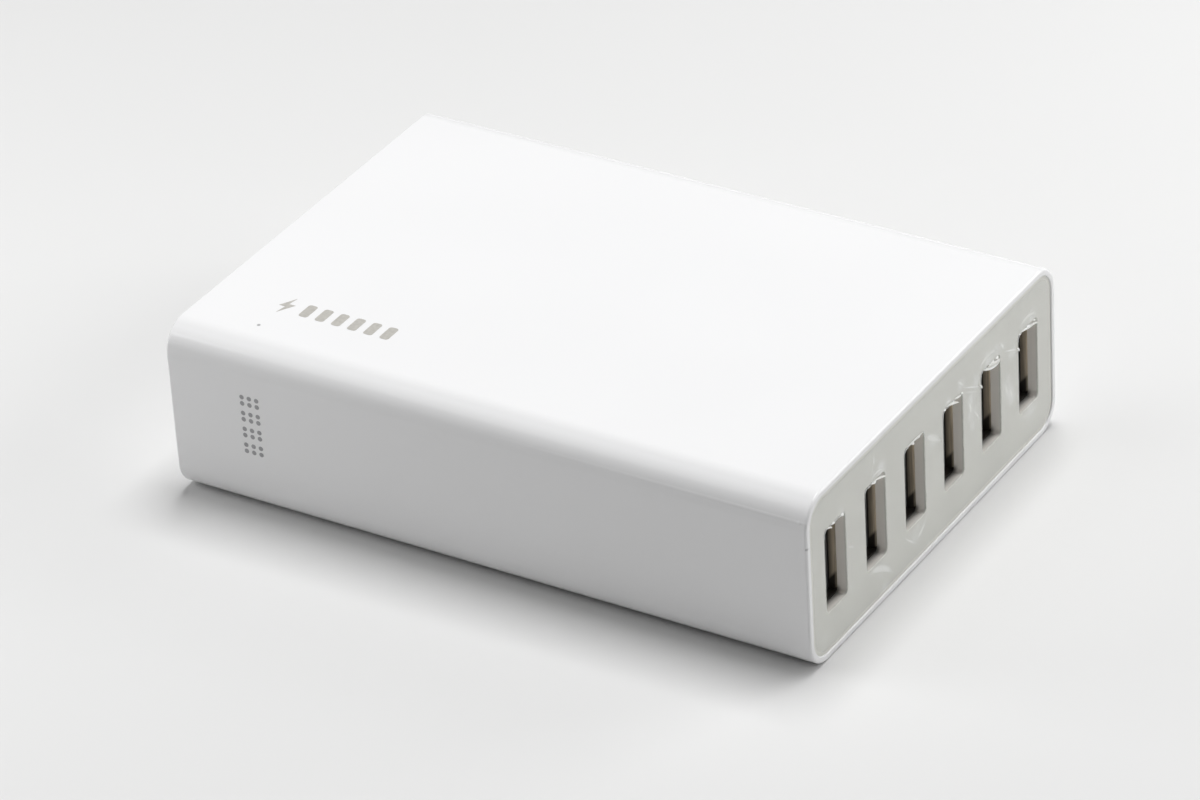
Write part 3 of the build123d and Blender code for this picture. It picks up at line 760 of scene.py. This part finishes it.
class CHARGER_OT_sleeve(ChargerOperator, bpy.types.Operator):
    """Model the white sleeve: a rounded tube with a seat for a panel at each end"""

    bl_idname = "charger.sleeve"
    bl_label = "Sleeve"

    def execute(self, context):
        sizes = self.settings.sleeve

        def at_end(edge):
            return at_level(edge, CASING_LOW.x) or at_level(edge, CASING_HIGH.x)

        def inner_rim(edge):
            return at_end(edge) and edge.calc_face_angle(0.0) > CORNER_ANGLE

        sleeve = rounded_box("sleeve", CASING_LOW, CASING_HIGH, X, sizes.edge_radius, 20)
        round_edges(sleeve, at_end, sizes.rim_round, 5)
        edit(sleeve)
        pick(sleeve, "faces", lambda face: abs(face.normal.x) > 0.999)
        bpy.ops.mesh.inset(thickness=sizes.rim_wall - sizes.rim_round, use_individual=True)
        bpy.ops.mesh.extrude_region_shrink_fatten(TRANSFORM_OT_shrink_fatten={"value": -sizes.seat_depth})
        bpy.ops.mesh.inset(thickness=sizes.wall - sizes.rim_wall, use_individual=True)
        bpy.ops.mesh.delete(type="ONLY_FACE")
        pick(sleeve, "edges", lambda edge: edge.is_boundary)
        bpy.ops.mesh.bridge_edge_loops()
        end_edit()
        round_edges(sleeve, inner_rim, sizes.rim_inner, 4)
        face_outwards(sleeve)
        smooth(sleeve)
        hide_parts("casing")
        dress(sleeve, white_plastic(sizes))
        return {"FINISHED"}


def panel_blank(name, front, back, sizes):
    """A panel plate with rounded corners between two X levels."""
    let_out = Vector((0.0, sizes.snug, sizes.snug))
    low = Vector((min(front, back), PANEL_LOW.y, PANEL_LOW.z)) - let_out
    high = Vector((max(front, back), PANEL_HIGH.y, PANEL_HIGH.z)) + let_out
    return rounded_box(name, low, high, X, sizes.corner, 14)


def rounded_bar(name, middle, width, height, low_x, high_x, corner, segments):
    """A bar along X with rounded corners, for cutting openings."""
    half = Vector((0.0, width / 2, height / 2))
    low = Vector((low_x, *middle)) - half
    high = Vector((high_x, *middle)) + half
    return rounded_box(name, low, high, X, corner, segments)


def port_bars(name, shift, *sizes):
    """A bar through each port slot, moved by shift from its middle; modelled once and copied."""
    first, *others = PORT_CENTRES
    bar = rounded_bar(name, (first + shift, MID_HEIGHT + shift), *sizes)
    return [bar] + [copy_of(bar, (0.0, centre - first, 0.0)) for centre in others]


def soften_front(plate, front, amount, inner_amount):
    """Rounds the outer edge of the front face, and the edges of its openings."""
    border = 3.5 * MM

    def outer(edge):
        middle = (edge.verts[0].co + edge.verts[1].co) / 2
        near_end = abs(middle.y) > PANEL_HIGH.y - border
        near_top = abs(middle.z - MID_HEIGHT) > (PANEL_HIGH.z - PANEL_LOW.z) / 2 - border
        return near_end or near_top

    def sharp(edge):
        return at_level(edge, front) and edge.calc_face_angle(0.0) > CORNER_ANGLE

    round_edges(plate, lambda edge: sharp(edge) and outer(edge), amount, 4)
    round_edges(plate, lambda edge: sharp(edge) and not outer(edge), inner_amount, 4)


def draw_in_slots(plate, back, sizes):
    """Narrows each slot towards the back of the plate."""
    margin = 0.1 * MM
    half_width, half_height = sizes.slot_width / 2, sizes.slot_height / 2
    narrow = 1.0 - sizes.thickness * math.tan(sizes.slot_draft) / half_width
    edit(plate)
    for centre in PORT_CENTRES:

        def on_slot(edge):
            near = all(abs(vert.co.y - centre) < half_width + margin for vert in edge.verts)
            level = all(abs(vert.co.z - MID_HEIGHT) < half_height + margin for vert in edge.verts)
            return near and level and at_level(edge, back)

        pick(plate, "edges", on_slot)
        bpy.ops.transform.resize(value=(1.0, narrow, 1.0), center_override=(back, centre, MID_HEIGHT))
    end_edit()


def snap_tabs(back, inward):
    """Four hooked tabs behind a panel, rooted in it."""
    offset, width, thick = 18.0 * MM, 8.0 * MM, 1.2 * MM
    root, reach = 0.3 * MM, 5.0 * MM
    hook, hook_start = 0.45 * MM, reach - 1.5 * MM
    gap = 2.15 * MM
    hooked = (
        (-root, 0.0), (hook_start, 0.0), (hook_start, hook), (reach, 0.0), (reach, -thick), (-root, -thick),
    )
    tabs = []
    for top, outer in ((1, CASING_HIGH.z - gap), (-1, CASING_LOW.z + gap)):
        points = [(back + inward * along, -offset - width / 2, outer + top * up) for along, up in hooked]
        tab = solid_outline("snap_tab", points, (0.0, width, 0.0))
        tabs += [tab, copy_of(tab, (0.0, 2 * offset, 0.0))]
    return join(tabs, "snap_tabs")


class CHARGER_OT_panels(ChargerOperator, bpy.types.Operator):
    """Model the slotted port panel and the rear panel with its inlet opening"""

    bl_idname = "charger.panels"
    bl_label = "End panels"

    def execute(self, context):
        sizes = self.settings.panel
        front = PANEL_HIGH.x
        back = front - sizes.thickness
        panel = panel_blank("slotted_panel", front, back, sizes)
        span = back - OVERRUN, front + OVERRUN
        bars = port_bars("slot_cutter", 0.0, sizes.slot_width, sizes.slot_height, *span, sizes.slot_corner, 6)
        combine(panel, join(bars, "slot_cutters"), "DIFFERENCE")
        draw_in_slots(panel, back, sizes)
        soften_front(panel, front, sizes.edge, sizes.slot_edge)
        combine(panel, snap_tabs(back, -1), "UNION")
        smooth(panel)
        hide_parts("port_panel")
        dress(panel, grey_plastic(sizes))

        front = REAR_LOW.x
        back = front + sizes.thickness
        rear = panel_blank("closing_panel", front, back, sizes)
        span = front - OVERRUN, back + OVERRUN
        width, height = sizes.inlet_width, sizes.inlet_height
        nearly_half = height * 0.4999
        bar = rounded_bar("inlet_cutter", (0.0, MID_HEIGHT), width, height, *span, nearly_half, 24)
        combine(rear, bar, "DIFFERENCE")
        soften_front(rear, front, sizes.edge, sizes.edge)
        combine(rear, snap_tabs(back, 1), "UNION")
        smooth(rear)
        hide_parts("rear_panel")
        dress(rear, bpy.data.materials["white_plastic"])
        return {"FINISHED"}


def spot_key(vert):
    """Y and Z of a point, alike for the points above and below each other."""
    return round(vert.co.y / MM, 3), round(vert.co.z / MM, 3)


class CHARGER_OT_film(ChargerOperator, bpy.types.Operator):
    """Model the clear film on the port panel, cut roughly round the slots, with creases and loose flakes"""

    bl_idname = "charger.film"
    bl_label = "Film"

    # Gaps: film above the panel, cut round a slot, creases sunk in the panel
    film_gap, cut_gap, crease_depth = 0.01 * MM, 0.06 * MM, 0.004 * MM
    # Of each port: its number of flakes, and how far the film droops into its slot in millimetres
    flakes = (2, 1, 2, 4, 4, 3)
    droops = (0.1, 0.85, 0.0, 0.1, 0.8, 0.9)
    # Y and Z of a curve's three points, its width and its lift, in millimetres, and its whiteness
    creases = (
        (((-16.2, 23.7), (-16.3, 22.8), (-16.3, 22.0)), 0.5, 0.014, 0.65),
        (((-16.4, 22.4), (-16.8, 21.6), (-17.0, 20.9)), 0.3, 0.01, 0.45),
        (((-17.6, 20.0), (-15.2, 21.4), (-12.9, 19.4)), 0.55, 0.017, 0.52),
        (((-23.7, 13.6), (-22.9, 13.3), (-22.1, 12.7)), 0.4, 0.014, 0.59),
        (((-23.5, 7.8), (-23.3, 7.2), (-23.2, 6.5)), 0.35, 0.01, 0.45),
        (((-24.0, 23.2), (-23.7, 22.6), (-23.5, 22.1)), 0.45, 0.01, 0.33),
        (((-18.6, 6.2), (-15.3, 6.2), (-11.8, 2.4)), 1.3, 0.025, 0.62),
        (((-16.0, 5.6), (-14.0, 4.6), (-12.2, 3.2)), 0.35, 0.021, 0.78),
        (((-8.9, 6.4), (-7.2, 4.6), (-5.4, 3.4)), 0.45, 0.017, 0.59),
        (((-6.0, 4.0), (-4.2, 4.2), (-2.2, 6.2)), 1.1, 0.017, 0.42),
        (((-2.6, 18.6), (-0.6, 17.4), (2.0, 15.4)), 1.4, 0.021, 0.5),
        (((6.6, 22.0), (7.6, 21.4), (8.8, 20.1)), 0.6, 0.017, 0.59),
        (((8.2, 20.2), (10.8, 18.9), (13.5, 17.5)), 0.3, 0.017, 0.85),
        (((8.9, 19.2), (10.6, 18.2), (12.6, 17.2)), 0.22, 0.014, 0.59),
        (((9.6, 17.6), (10.6, 16.0), (10.3, 14.0)), 0.9, 0.017, 0.45),
        (((10.8, 15.6), (12.0, 13.8), (13.2, 12.3)), 0.45, 0.017, 0.52),
        (((12.4, 20.2), (15.6, 22.2), (18.6, 20.4)), 0.9, 0.021, 0.45),
        (((18.9, 21.3), (19.7, 20.6), (20.2, 19.7)), 0.7, 0.017, 0.65),
        (((19.8, 19.4), (22.0, 18.6), (24.2, 17.4)), 0.3, 0.017, 0.78),
        (((20.6, 18.4), (22.0, 17.6), (23.6, 17.0)), 0.22, 0.014, 0.52),
        (((20.0, 14.4), (20.9, 13.0), (20.6, 11.6)), 0.8, 0.017, 0.45),
        (((21.2, 13.0), (22.2, 11.8), (22.0, 10.2)), 0.7, 0.017, 0.52),
        (((24.2, 20.4), (27.0, 22.0), (30.0, 20.0)), 0.8, 0.021, 0.45),
        (((24.4, 6.4), (27.2, 4.7), (30.4, 6.0)), 0.5, 0.014, 0.39),
        (((3.2, 20.2), (4.2, 20.6), (5.2, 20.0)), 0.6, 0.017, 0.59),
        (((5.8, 6.2), (6.5, 5.8), (7.2, 5.6)), 0.3, 0.01, 0.39),
    )
    curls = (
        (((-29.4, 19.8), (-28.4, 19.7), (-27.8, 19.1)), 0.3, 0.16, 0.85),
        (((-16.6, 19.8), (-14.8, 19.5), (-13.3, 18.7)), 0.34, 0.2, 0.8),
        (((-7.6, 19.8), (-5.6, 19.9), (-3.0, 19.7)), 0.3, 0.14, 0.7),
        (((3.4, 19.9), (5.2, 19.7), (6.9, 18.7)), 0.42, 0.24, 0.9),
        (((5.6, 19.9), (6.6, 19.6), (7.7, 19.5)), 0.4, 0.2, 0.8),
        (((13.9, 19.9), (16.2, 18.6), (18.8, 18.7)), 0.5, 0.3, 0.95),
        (((15.2, 19.6), (17.4, 19.3), (18.9, 18.9)), 0.36, 0.26, 0.9),
        (((12.6, 18.2), (13.2, 17.8), (13.6, 17.2)), 0.45, 0.18, 0.95),
        (((24.5, 19.9), (26.6, 19.6), (28.2, 19.0)), 0.4, 0.2, 0.85),
        (((26.4, 19.5), (28.6, 19.3), (30.0, 18.6)), 0.34, 0.18, 0.7),
        (((23.5, 18.0), (24.1, 17.6), (24.4, 17.1)), 0.4, 0.16, 0.9),
    )

    def execute(self, context):
        sizes = self.settings.film
        panel = self.settings.panel
        chance = random.Random(sizes.seed)
        base = FILM_LOW.x + self.film_gap
        front = base + sizes.thickness
        low, high = (base, FILM_LOW.y, FILM_LOW.z), (front, FILM_HIGH.y, FILM_HIGH.z)
        film = rounded_box("film", low, high, X, sizes.corner, 8)
        width = panel.slot_width + self.cut_gap - sizes.overhang
        height = panel.slot_height + self.cut_gap - sizes.overhang
        span = base - OVERRUN, base + OVERRUN
        cutters = port_bars("film_cutter", -sizes.overhang / 2, width, height, *span, panel.slot_corner, 3)
        for number, cutter in enumerate(cutters):
            self.roughen(cutter, sizes, number)
        combine(film, join(cutters, "film_cutters"), "DIFFERENCE")
        self.whiten(film, sizes, panel, chance)
        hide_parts("port_film")
        dress(film, clear_film(sizes))

        torn = torn_film(sizes, panel.grey)
        sunk = PANEL_HIGH.x - self.crease_depth
        creases = join([self.crease(sunk, *crease) for crease in self.creases], "film_creases")
        smooth(creases)
        dress(creases, torn)
        flakes = [self.crease(front, *curl) for curl in self.curls]
        for centre, count in zip(PORT_CENTRES, self.flakes):
            for number in range(count):
                along_slot = (number + chance.uniform(0.1, 0.9)) / count
                flakes.append(self.flake(centre, along_slot, chance, base))
        loose = join(flakes, "film_flakes")
        smooth(loose)
        dress(loose, torn)
        return {"FINISHED"}

    def roughen(self, cutter, sizes, number):
        """Lets the sides of a cutter wander, its top most, and its top hang down towards +Y."""
        lengthwise = runs_along(X)
        droop_start = 0.2
        edit(cutter)
        pick(cutter, "edges", lambda edge: not lengthwise(edge) and edge.calc_length() > 1.0 * MM)
        bpy.ops.mesh.subdivide(number_cuts=14)
        end_edit()
        wander = random.Random(sizes.seed * 10 + number)
        low, high = cutter.bound_box[0], cutter.bound_box[6]
        half_width, half_height = (high[1] - low[1]) / 2, (high[2] - low[2]) / 2
        moves = {}
        for vert in cutter.data.vertices:
            key = spot_key(vert)
            across = (vert.co.y - PORT_CENTRES[number]) / half_width
            up = (vert.co.z - MID_HEIGHT) / half_height
            if key not in moves:
                wild = 1.3 if up > 0.93 else 0.45
                moves[key] = [wander.uniform(-0.3, 1.0) * sizes.raggedness * wild for _ in range(2)]
            aside, upwards = moves[key]
            bend = max(0.0, across + droop_start) ** 2 * max(0.0, 2 * up - 1) ** 2 / (1.0 + droop_start) ** 2
            vert.co.y += math.copysign(1.0, across) * aside * 0.6
            vert.co.z += math.copysign(1.0, up) * upwards - self.droops[number] * MM * bend

    def whiten(self, film, sizes, panel, chance):
        """Gives the film a strip along its cuts that is torn, most of all along the top of each slot."""
        marks = {}
        for vert in film.data.vertices:
            centre = min(PORT_CENTRES, key=lambda middle: abs(middle - vert.co.y))
            across = (vert.co.y - centre) / (panel.slot_width / 2)
            up = (vert.co.z - MID_HEIGHT) / (panel.slot_height / 2)
            key = spot_key(vert)
            if abs(across) < 1.1 and abs(up) < 1.1 and key not in marks:
                side = 0.1 if across < 0.0 else 0.45
                torn = 1.0 if up > 0.85 else 0.08 if up < -0.9 else side
                whiteness = torn * chance.uniform(0.6, 1.0)
                lift = max(0.0, up - 0.7) * chance.uniform(0.0, 0.3) * MM
                marks[key] = whiteness, lift
        edit(film)
        pick(film, "faces", lambda face: abs(face.normal.x) > 0.9)
        bpy.ops.mesh.inset(thickness=sizes.torn_width, use_boundary=True, use_even_offset=False)
        end_edit()
        layer = film.data.attributes.new(TORN, "FLOAT", "POINT")
        for vert in film.data.vertices:
            whiteness, lift = marks.get(spot_key(vert), (0.0, 0.0))
            layer.data[vert.index].value = whiteness
            vert.co.x += lift

    def crease(self, front, points, width, lift, torn):
        """A low ridge along a curve over the panel, widest in its middle."""
        first, bend, last = (Vector(point) * MM for point in points)

        def shape(x, y):
            along, across = x + 0.5, 2 * y
            spot = first * (1 - along) ** 2 + bend * 2 * along * (1 - along) + last * along**2
            way = (bend - first) * (1 - along) + (last - bend) * along
            aside = Vector((-way.y, way.x)).normalized()
            swell = math.sin(math.pi * along) ** 0.7
            rise = swell * (1.0 - across**2)
            spot = spot + aside * (across * width * MM / 2 * (0.25 + 0.75 * swell))
            return (front + lift * MM * rise, spot.x, spot.y), torn * min(1.0, 1.3 * rise)

        return torn_sheet(14, 6, shape, thickness=0.02 * MM, offset=-1.0)

    def flake(self, centre, along_slot, chance, base):
        """One torn, curling sliver at the upper edge of a slot."""
        panel = self.settings.panel
        size = self.settings.film.flake
        long_side = size * chance.uniform(0.6, 1.4)
        short_side = size * chance.uniform(0.2, 0.4)
        curl = chance.uniform(0.15, 0.4) * size
        lean = chance.uniform(-0.6, 0.6)
        middle_y = centre + (along_slot - 0.5) * panel.slot_width * 0.95
        edge_z = MID_HEIGHT + panel.slot_height / 2 + 0.05 * MM

        def shape(along, across):
            taper = 1.0 - 3.2 * along**2
            y = middle_y + along * long_side + lean * across * short_side
            z = edge_z + across * short_side * taper + lean * along**2 * short_side
            return (base + 0.02 * MM + curl * (0.5 - across) ** 2 * taper, y, z), 0.9

        return torn_sheet(8, 4, shape, thickness=0.03 * MM, offset=0.0)


class CHARGER_OT_ports(ChargerOperator, bpy.types.Operator):
    """Finish the metal shells, black tongues and contacts behind the slots"""

    bl_idname = "charger.ports"
    bl_label = "USB ports"

    def execute(self, context):
        shell = shell_plate("shell_plate", (0.62, 0.54, 0.42))
        contact = sheet_metal("contact_plate", (0.82, 0.62, 0.28), 0.25, (0.25, 1.0, 2.0))
        tongue = moulded("tongue_black", (0.022, 0.022, 0.026), 0.45)
        paint(shell, *numbered("usb_shell", PORTS))
        paint(contact, *numbered("usb_contacts", PORTS))
        paint(tongue, *numbered("usb_tongue", PORTS))
        return {"FINISHED"}


class CHARGER_OT_inlet(ChargerOperator, bpy.types.Operator):
    """Finish the mains inlet and its pins"""

    bl_idname = "charger.inlet"
    bl_label = "Mains inlet"

    def execute(self, context):
        paint(moulded("inlet_black", (0.03, 0.03, 0.032), 0.42), "mains_inlet")
        pin = sheet_metal("pin_plate", (0.78, 0.76, 0.72), 0.22, (0.3, 1.0, 1.0))
        paint(pin, *numbered("mains_pin", (1, 2)))
        return {"FINISHED"}


class CHARGER_OT_marks(ChargerOperator, bpy.types.Operator):
    """Print a plain bolt and bars on the top, and a block of dots on the side"""

    bl_idname = "charger.marks"
    bl_label = "Printed marks"

    # The bolt's outline in a unit square, and that square's corner and sides, in millimetres
    bolt = ((0.62, 1.0), (0.12, 0.42), (0.46, 0.42), (0.34, 0.0), (0.88, 0.6), (0.52, 0.6))
    bolt_x, bolt_y, bolt_width, bolt_height = -39.4, -24.4, 2.9, 4.2
    # The first bar's corners, the bars' rounding, step and number
    bar_low, bar_high = (-35.2 * MM, -23.9 * MM), (-33.75 * MM, -20.8 * MM)
    bar_corner, bar_step, bars = 0.42 * MM, 2.62 * MM, 6
    # The first dot's middle, its radius, and the steps of the dots, in millimetres
    dot_x, dot_z, dot_radius, dot_sides = -37.9, 10.0, 0.36, 14
    cells, cell_step, columns, column_step, rows = 4, 2.55, 3, 1.2, 2

    def execute(self, context):
        sizes = self.settings.mark
        top_mark = join(self.top_marks(sizes.height), "top_mark")
        dress(top_mark, print_ink("top_ink", sizes.top_ink))
        side_mark = join(self.side_dots(sizes.height), "side_mark")
        dress(side_mark, print_ink("side_ink", sizes.side_ink))
        return {"FINISHED"}

    def top_marks(self, ink):
        """The bolt and the bars, half sunk in the top."""
        low = CASING_HIGH.z - ink
        high = low + 2 * ink
        outline = [
            ((self.bolt_x + self.bolt_width * x) * MM, (self.bolt_y + self.bolt_height * y) * MM, low)
            for x, y in self.bolt
        ]
        bolt = solid_outline("top_bolt", outline, (0.0, 0.0, 2 * ink))
        bar = rounded_box("top_bar", (*self.bar_low, low), (*self.bar_high, high), Z, self.bar_corner, 5)
        copies = [copy_of(bar, (self.bar_step * number, 0.0, 0.0)) for number in range(1, self.bars)]
        return [bolt, bar] + copies

    def side_dots(self, ink):
        """A block of dots, half sunk in the side."""
        turns = [2 * math.pi * corner / self.dot_sides for corner in range(self.dot_sides)]
        rim = [
            (
                (self.dot_x + self.dot_radius * math.sin(turn)) * MM,
                CASING_LOW.y + ink,
                (self.dot_z + self.dot_radius * math.cos(turn)) * MM,
            )
            for turn in turns
        ]
        dot = solid_outline("side_dot", rim, (0.0, -2 * ink, 0.0))
        _, *shifts = [
            (self.column_step * column * MM, 0.0, (self.cell_step * cell + row) * MM)
            for cell in range(self.cells)
            for column in range(self.columns)
            for row in range(self.rows)
        ]
        return [dot] + [copy_of(dot, shift) for shift in shifts]


class CHARGER_OT_circuit(ChargerOperator, bpy.types.Operator):
    """Finish the boards and the parts on them"""

    bl_idname = "charger.circuit"
    bl_label = "Circuit"

    def execute(self, context):
        three = (1, 2, 3)
        cans = numbered("bulk_capacitor", three) + numbered("output_capacitor", three)
        chips = ["controller_chip", "optocoupler", "bridge_rectifier", "primary_switch", "output_rectifier"]
        chips += numbered("charge_chip", three)
        cores = ("choke_core", "transformer_core_lower", "transformer_core_upper", "output_choke")
        aluminium = sheet_metal("bent_aluminium", (0.72, 0.72, 0.73), 0.4, (0.3, 0.3, 1.0))
        paint(circuit_board("solder_mask", (0.03, 0.16, 0.07)), "main_board", "port_board")
        paint(moulded("fibre_sheet", (0.78, 0.74, 0.62), 0.6, 0.8 * MM), "insulating_sheet")
        paint(moulded("fuse_brown", (0.16, 0.07, 0.04), 0.35), "fuse")
        paint(moulded("dipped_blue", (0.06, 0.16, 0.5), 0.25, 1.2 * MM), "varistor", "y_capacitor")
        paint(moulded("box_yellow", (0.7, 0.5, 0.08), 0.35), "x_capacitor")
        paint(moulded("chip_black", (0.025, 0.025, 0.027), 0.5), *chips)
        paint(moulded("can_sleeve", (0.03, 0.035, 0.05), 0.25, 0.6 * MM), *cans)
        paint(moulded("ferrite", (0.06, 0.06, 0.065), 0.6, 0.4 * MM, 0.6), *cores)
        paint(moulded("bobbin_black", (0.03, 0.03, 0.03), 0.4), "transformer_bobbin")
        paint(wound_wire("copper_wire", (0.6, 0.26, 0.1), 0.5 * MM), "choke_coils")
        paint(wound_wire("winding_tape", (0.72, 0.52, 0.06), 3.2 * MM), "transformer_winding")
        paint(aluminium, "primary_heatsink", "secondary_heatsink")
        return {"FINISHED"}


class CHARGER_OT_stage(ChargerOperator, bpy.types.Operator):
    """Lay the floor, hang the lamps and place the camera"""

    bl_idname = "charger.stage"
    bl_label = "Stage"

    # Each lamp's place and width, in metres, and the point that they all face
    lamps = {
        "overhead": ((0.0, 0.25, 1.2), 0.6),
        "front": ((-0.55, -0.42, 0.97), 0.65),
        "right": ((1.1, 0.4, 0.6), 0.8),
        "far": ((0.25, 0.28, 0.2), 0.2),
        "left": ((-0.22, -0.12, 0.12), 0.14),
    }
    lit_point = Vector((0.0, 0.0, 0.01))

    def execute(self, context):
        settings = self.settings.stage
        clear_selection()
        bpy.ops.mesh.primitive_plane_add(size=settings.floor_size, location=(0.0, 0.0, CASING_LOW.z))
        floor = bpy.context.object
        floor.name = "floor"
        edit(floor)
        bpy.ops.mesh.subdivide(number_cuts=3)
        end_edit()
        give(floor, paper_floor(settings))
        for name, (place, width) in self.lamps.items():
            self.lamp(f"{name}_lamp", place, width, getattr(settings, f"{name}_power"))
        self.surroundings(settings)
        self.camera(settings)
        context.scene.view_settings.view_transform = "Standard"
        return {"FINISHED"}

    def lamp(self, name, place, width, power):
        """A square lamp that the camera doesn't see."""
        data = bpy.data.lights.new(name, "AREA")
        data.shape = "SQUARE"
        data.size = width
        data.energy = power
        lamp = bpy.data.objects.new(name, data)
        lamp.location = place
        aim = self.lit_point - lamp.location
        lamp.rotation_euler = aim.to_track_quat("-Z", "Y").to_euler()
        lamp.visible_camera = False
        bpy.context.scene.collection.objects.link(lamp)

    def surroundings(self, settings):
        """Pale surroundings that are seen, and mirrored a little, but give hardly any light."""
        world = bpy.data.worlds.new("surroundings")
        world.use_nodes = True
        graph = Graph(world.node_tree)
        seen = graph.ray("Camera").most(graph.ray("Transmission"))
        glow = settings.sky + (settings.gleam - settings.sky) * graph.ray("Glossy")
        glow = glow + (settings.backdrop - glow) * seen
        background = world.node_tree.nodes["Background"]
        graph.put(background.inputs["Color"], settings.backdrop_tint)
        graph.put(background.inputs["Strength"], glow)
        bpy.context.scene.world = world

    def camera(self, settings):
        """The camera at its angle and distance from the target, rolled about its own axis."""
        azimuth, elevation, roll = settings.azimuth, settings.elevation, settings.roll
        flat = math.cos(elevation)
        back = Vector((math.sin(azimuth) * flat, -math.cos(azimuth) * flat, math.sin(elevation)))
        level = (-back).cross(Vector((0.0, 0.0, 1.0))).normalized()
        upright = back.cross(level)
        right = level * math.cos(roll) + upright * math.sin(roll)
        up = upright * math.cos(roll) - level * math.sin(roll)
        data = bpy.data.cameras.new("camera")
        data.sensor_width = 36.0
        data.lens = settings.lens
        data.clip_start = 0.01
        data.clip_end = 20.0
        camera = bpy.data.objects.new("camera", data)
        turn = Matrix((right, up, back)).transposed().to_4x4()
        camera.matrix_world = Matrix.Translation(Vector(settings.target) + back * settings.distance) @ turn
        bpy.context.scene.collection.objects.link(camera)
        bpy.context.scene.camera = camera


OPERATORS = (
    CHARGER_OT_sleeve,
    CHARGER_OT_panels,
    CHARGER_OT_film,
    CHARGER_OT_ports,
    CHARGER_OT_inlet,
    CHARGER_OT_marks,
    CHARGER_OT_circuit,
    CHARGER_OT_stage,
)


class CHARGER_PT_pieces(bpy.types.Panel):
    """Lists the pieces of the charger"""

    bl_idname = "CHARGER_PT_pieces"
    bl_label = "USB desktop charger"
    bl_space_type = "VIEW_3D"
    bl_region_type = "UI"
    bl_category = "Charger"

    def draw(self, context):
        for operator in OPERATORS:
            self.layout.operator(operator.bl_idname)
        for group in ("sleeve", "panel", "film", "mark", "stage"):
            box = self.layout.box()
            box.label(text=group.title())
            settings = getattr(context.scene.charger, group)
            for name in settings.bl_rna.properties.keys():
                if name not in ("rna_type", "name"):
                    box.prop(settings, name)


CLASSES = (
    SleeveSettings,
    PanelSettings,
    FilmSettings,
    MarkSettings,
    StageSettings,
    ChargerSettings,
    *OPERATORS,
    CHARGER_PT_pieces,
)


def register():
    for cls in CLASSES:
        bpy.utils.register_class(cls)
    bpy.types.Scene.charger = PointerProperty(type=ChargerSettings)


def unregister():
    del bpy.types.Scene.charger
    for cls in reversed(CLASSES):
        bpy.utils.unregister_class(cls)


def main():
    register()
    bpy.ops.charger.sleeve()
    bpy.ops.charger.panels()
    bpy.ops.charger.film()
    bpy.ops.charger.ports()
    bpy.ops.charger.inlet()
    bpy.ops.charger.marks()
    bpy.ops.charger.circuit()
    bpy.ops.charger.stage()


if __name__ == "__main__":
    main()
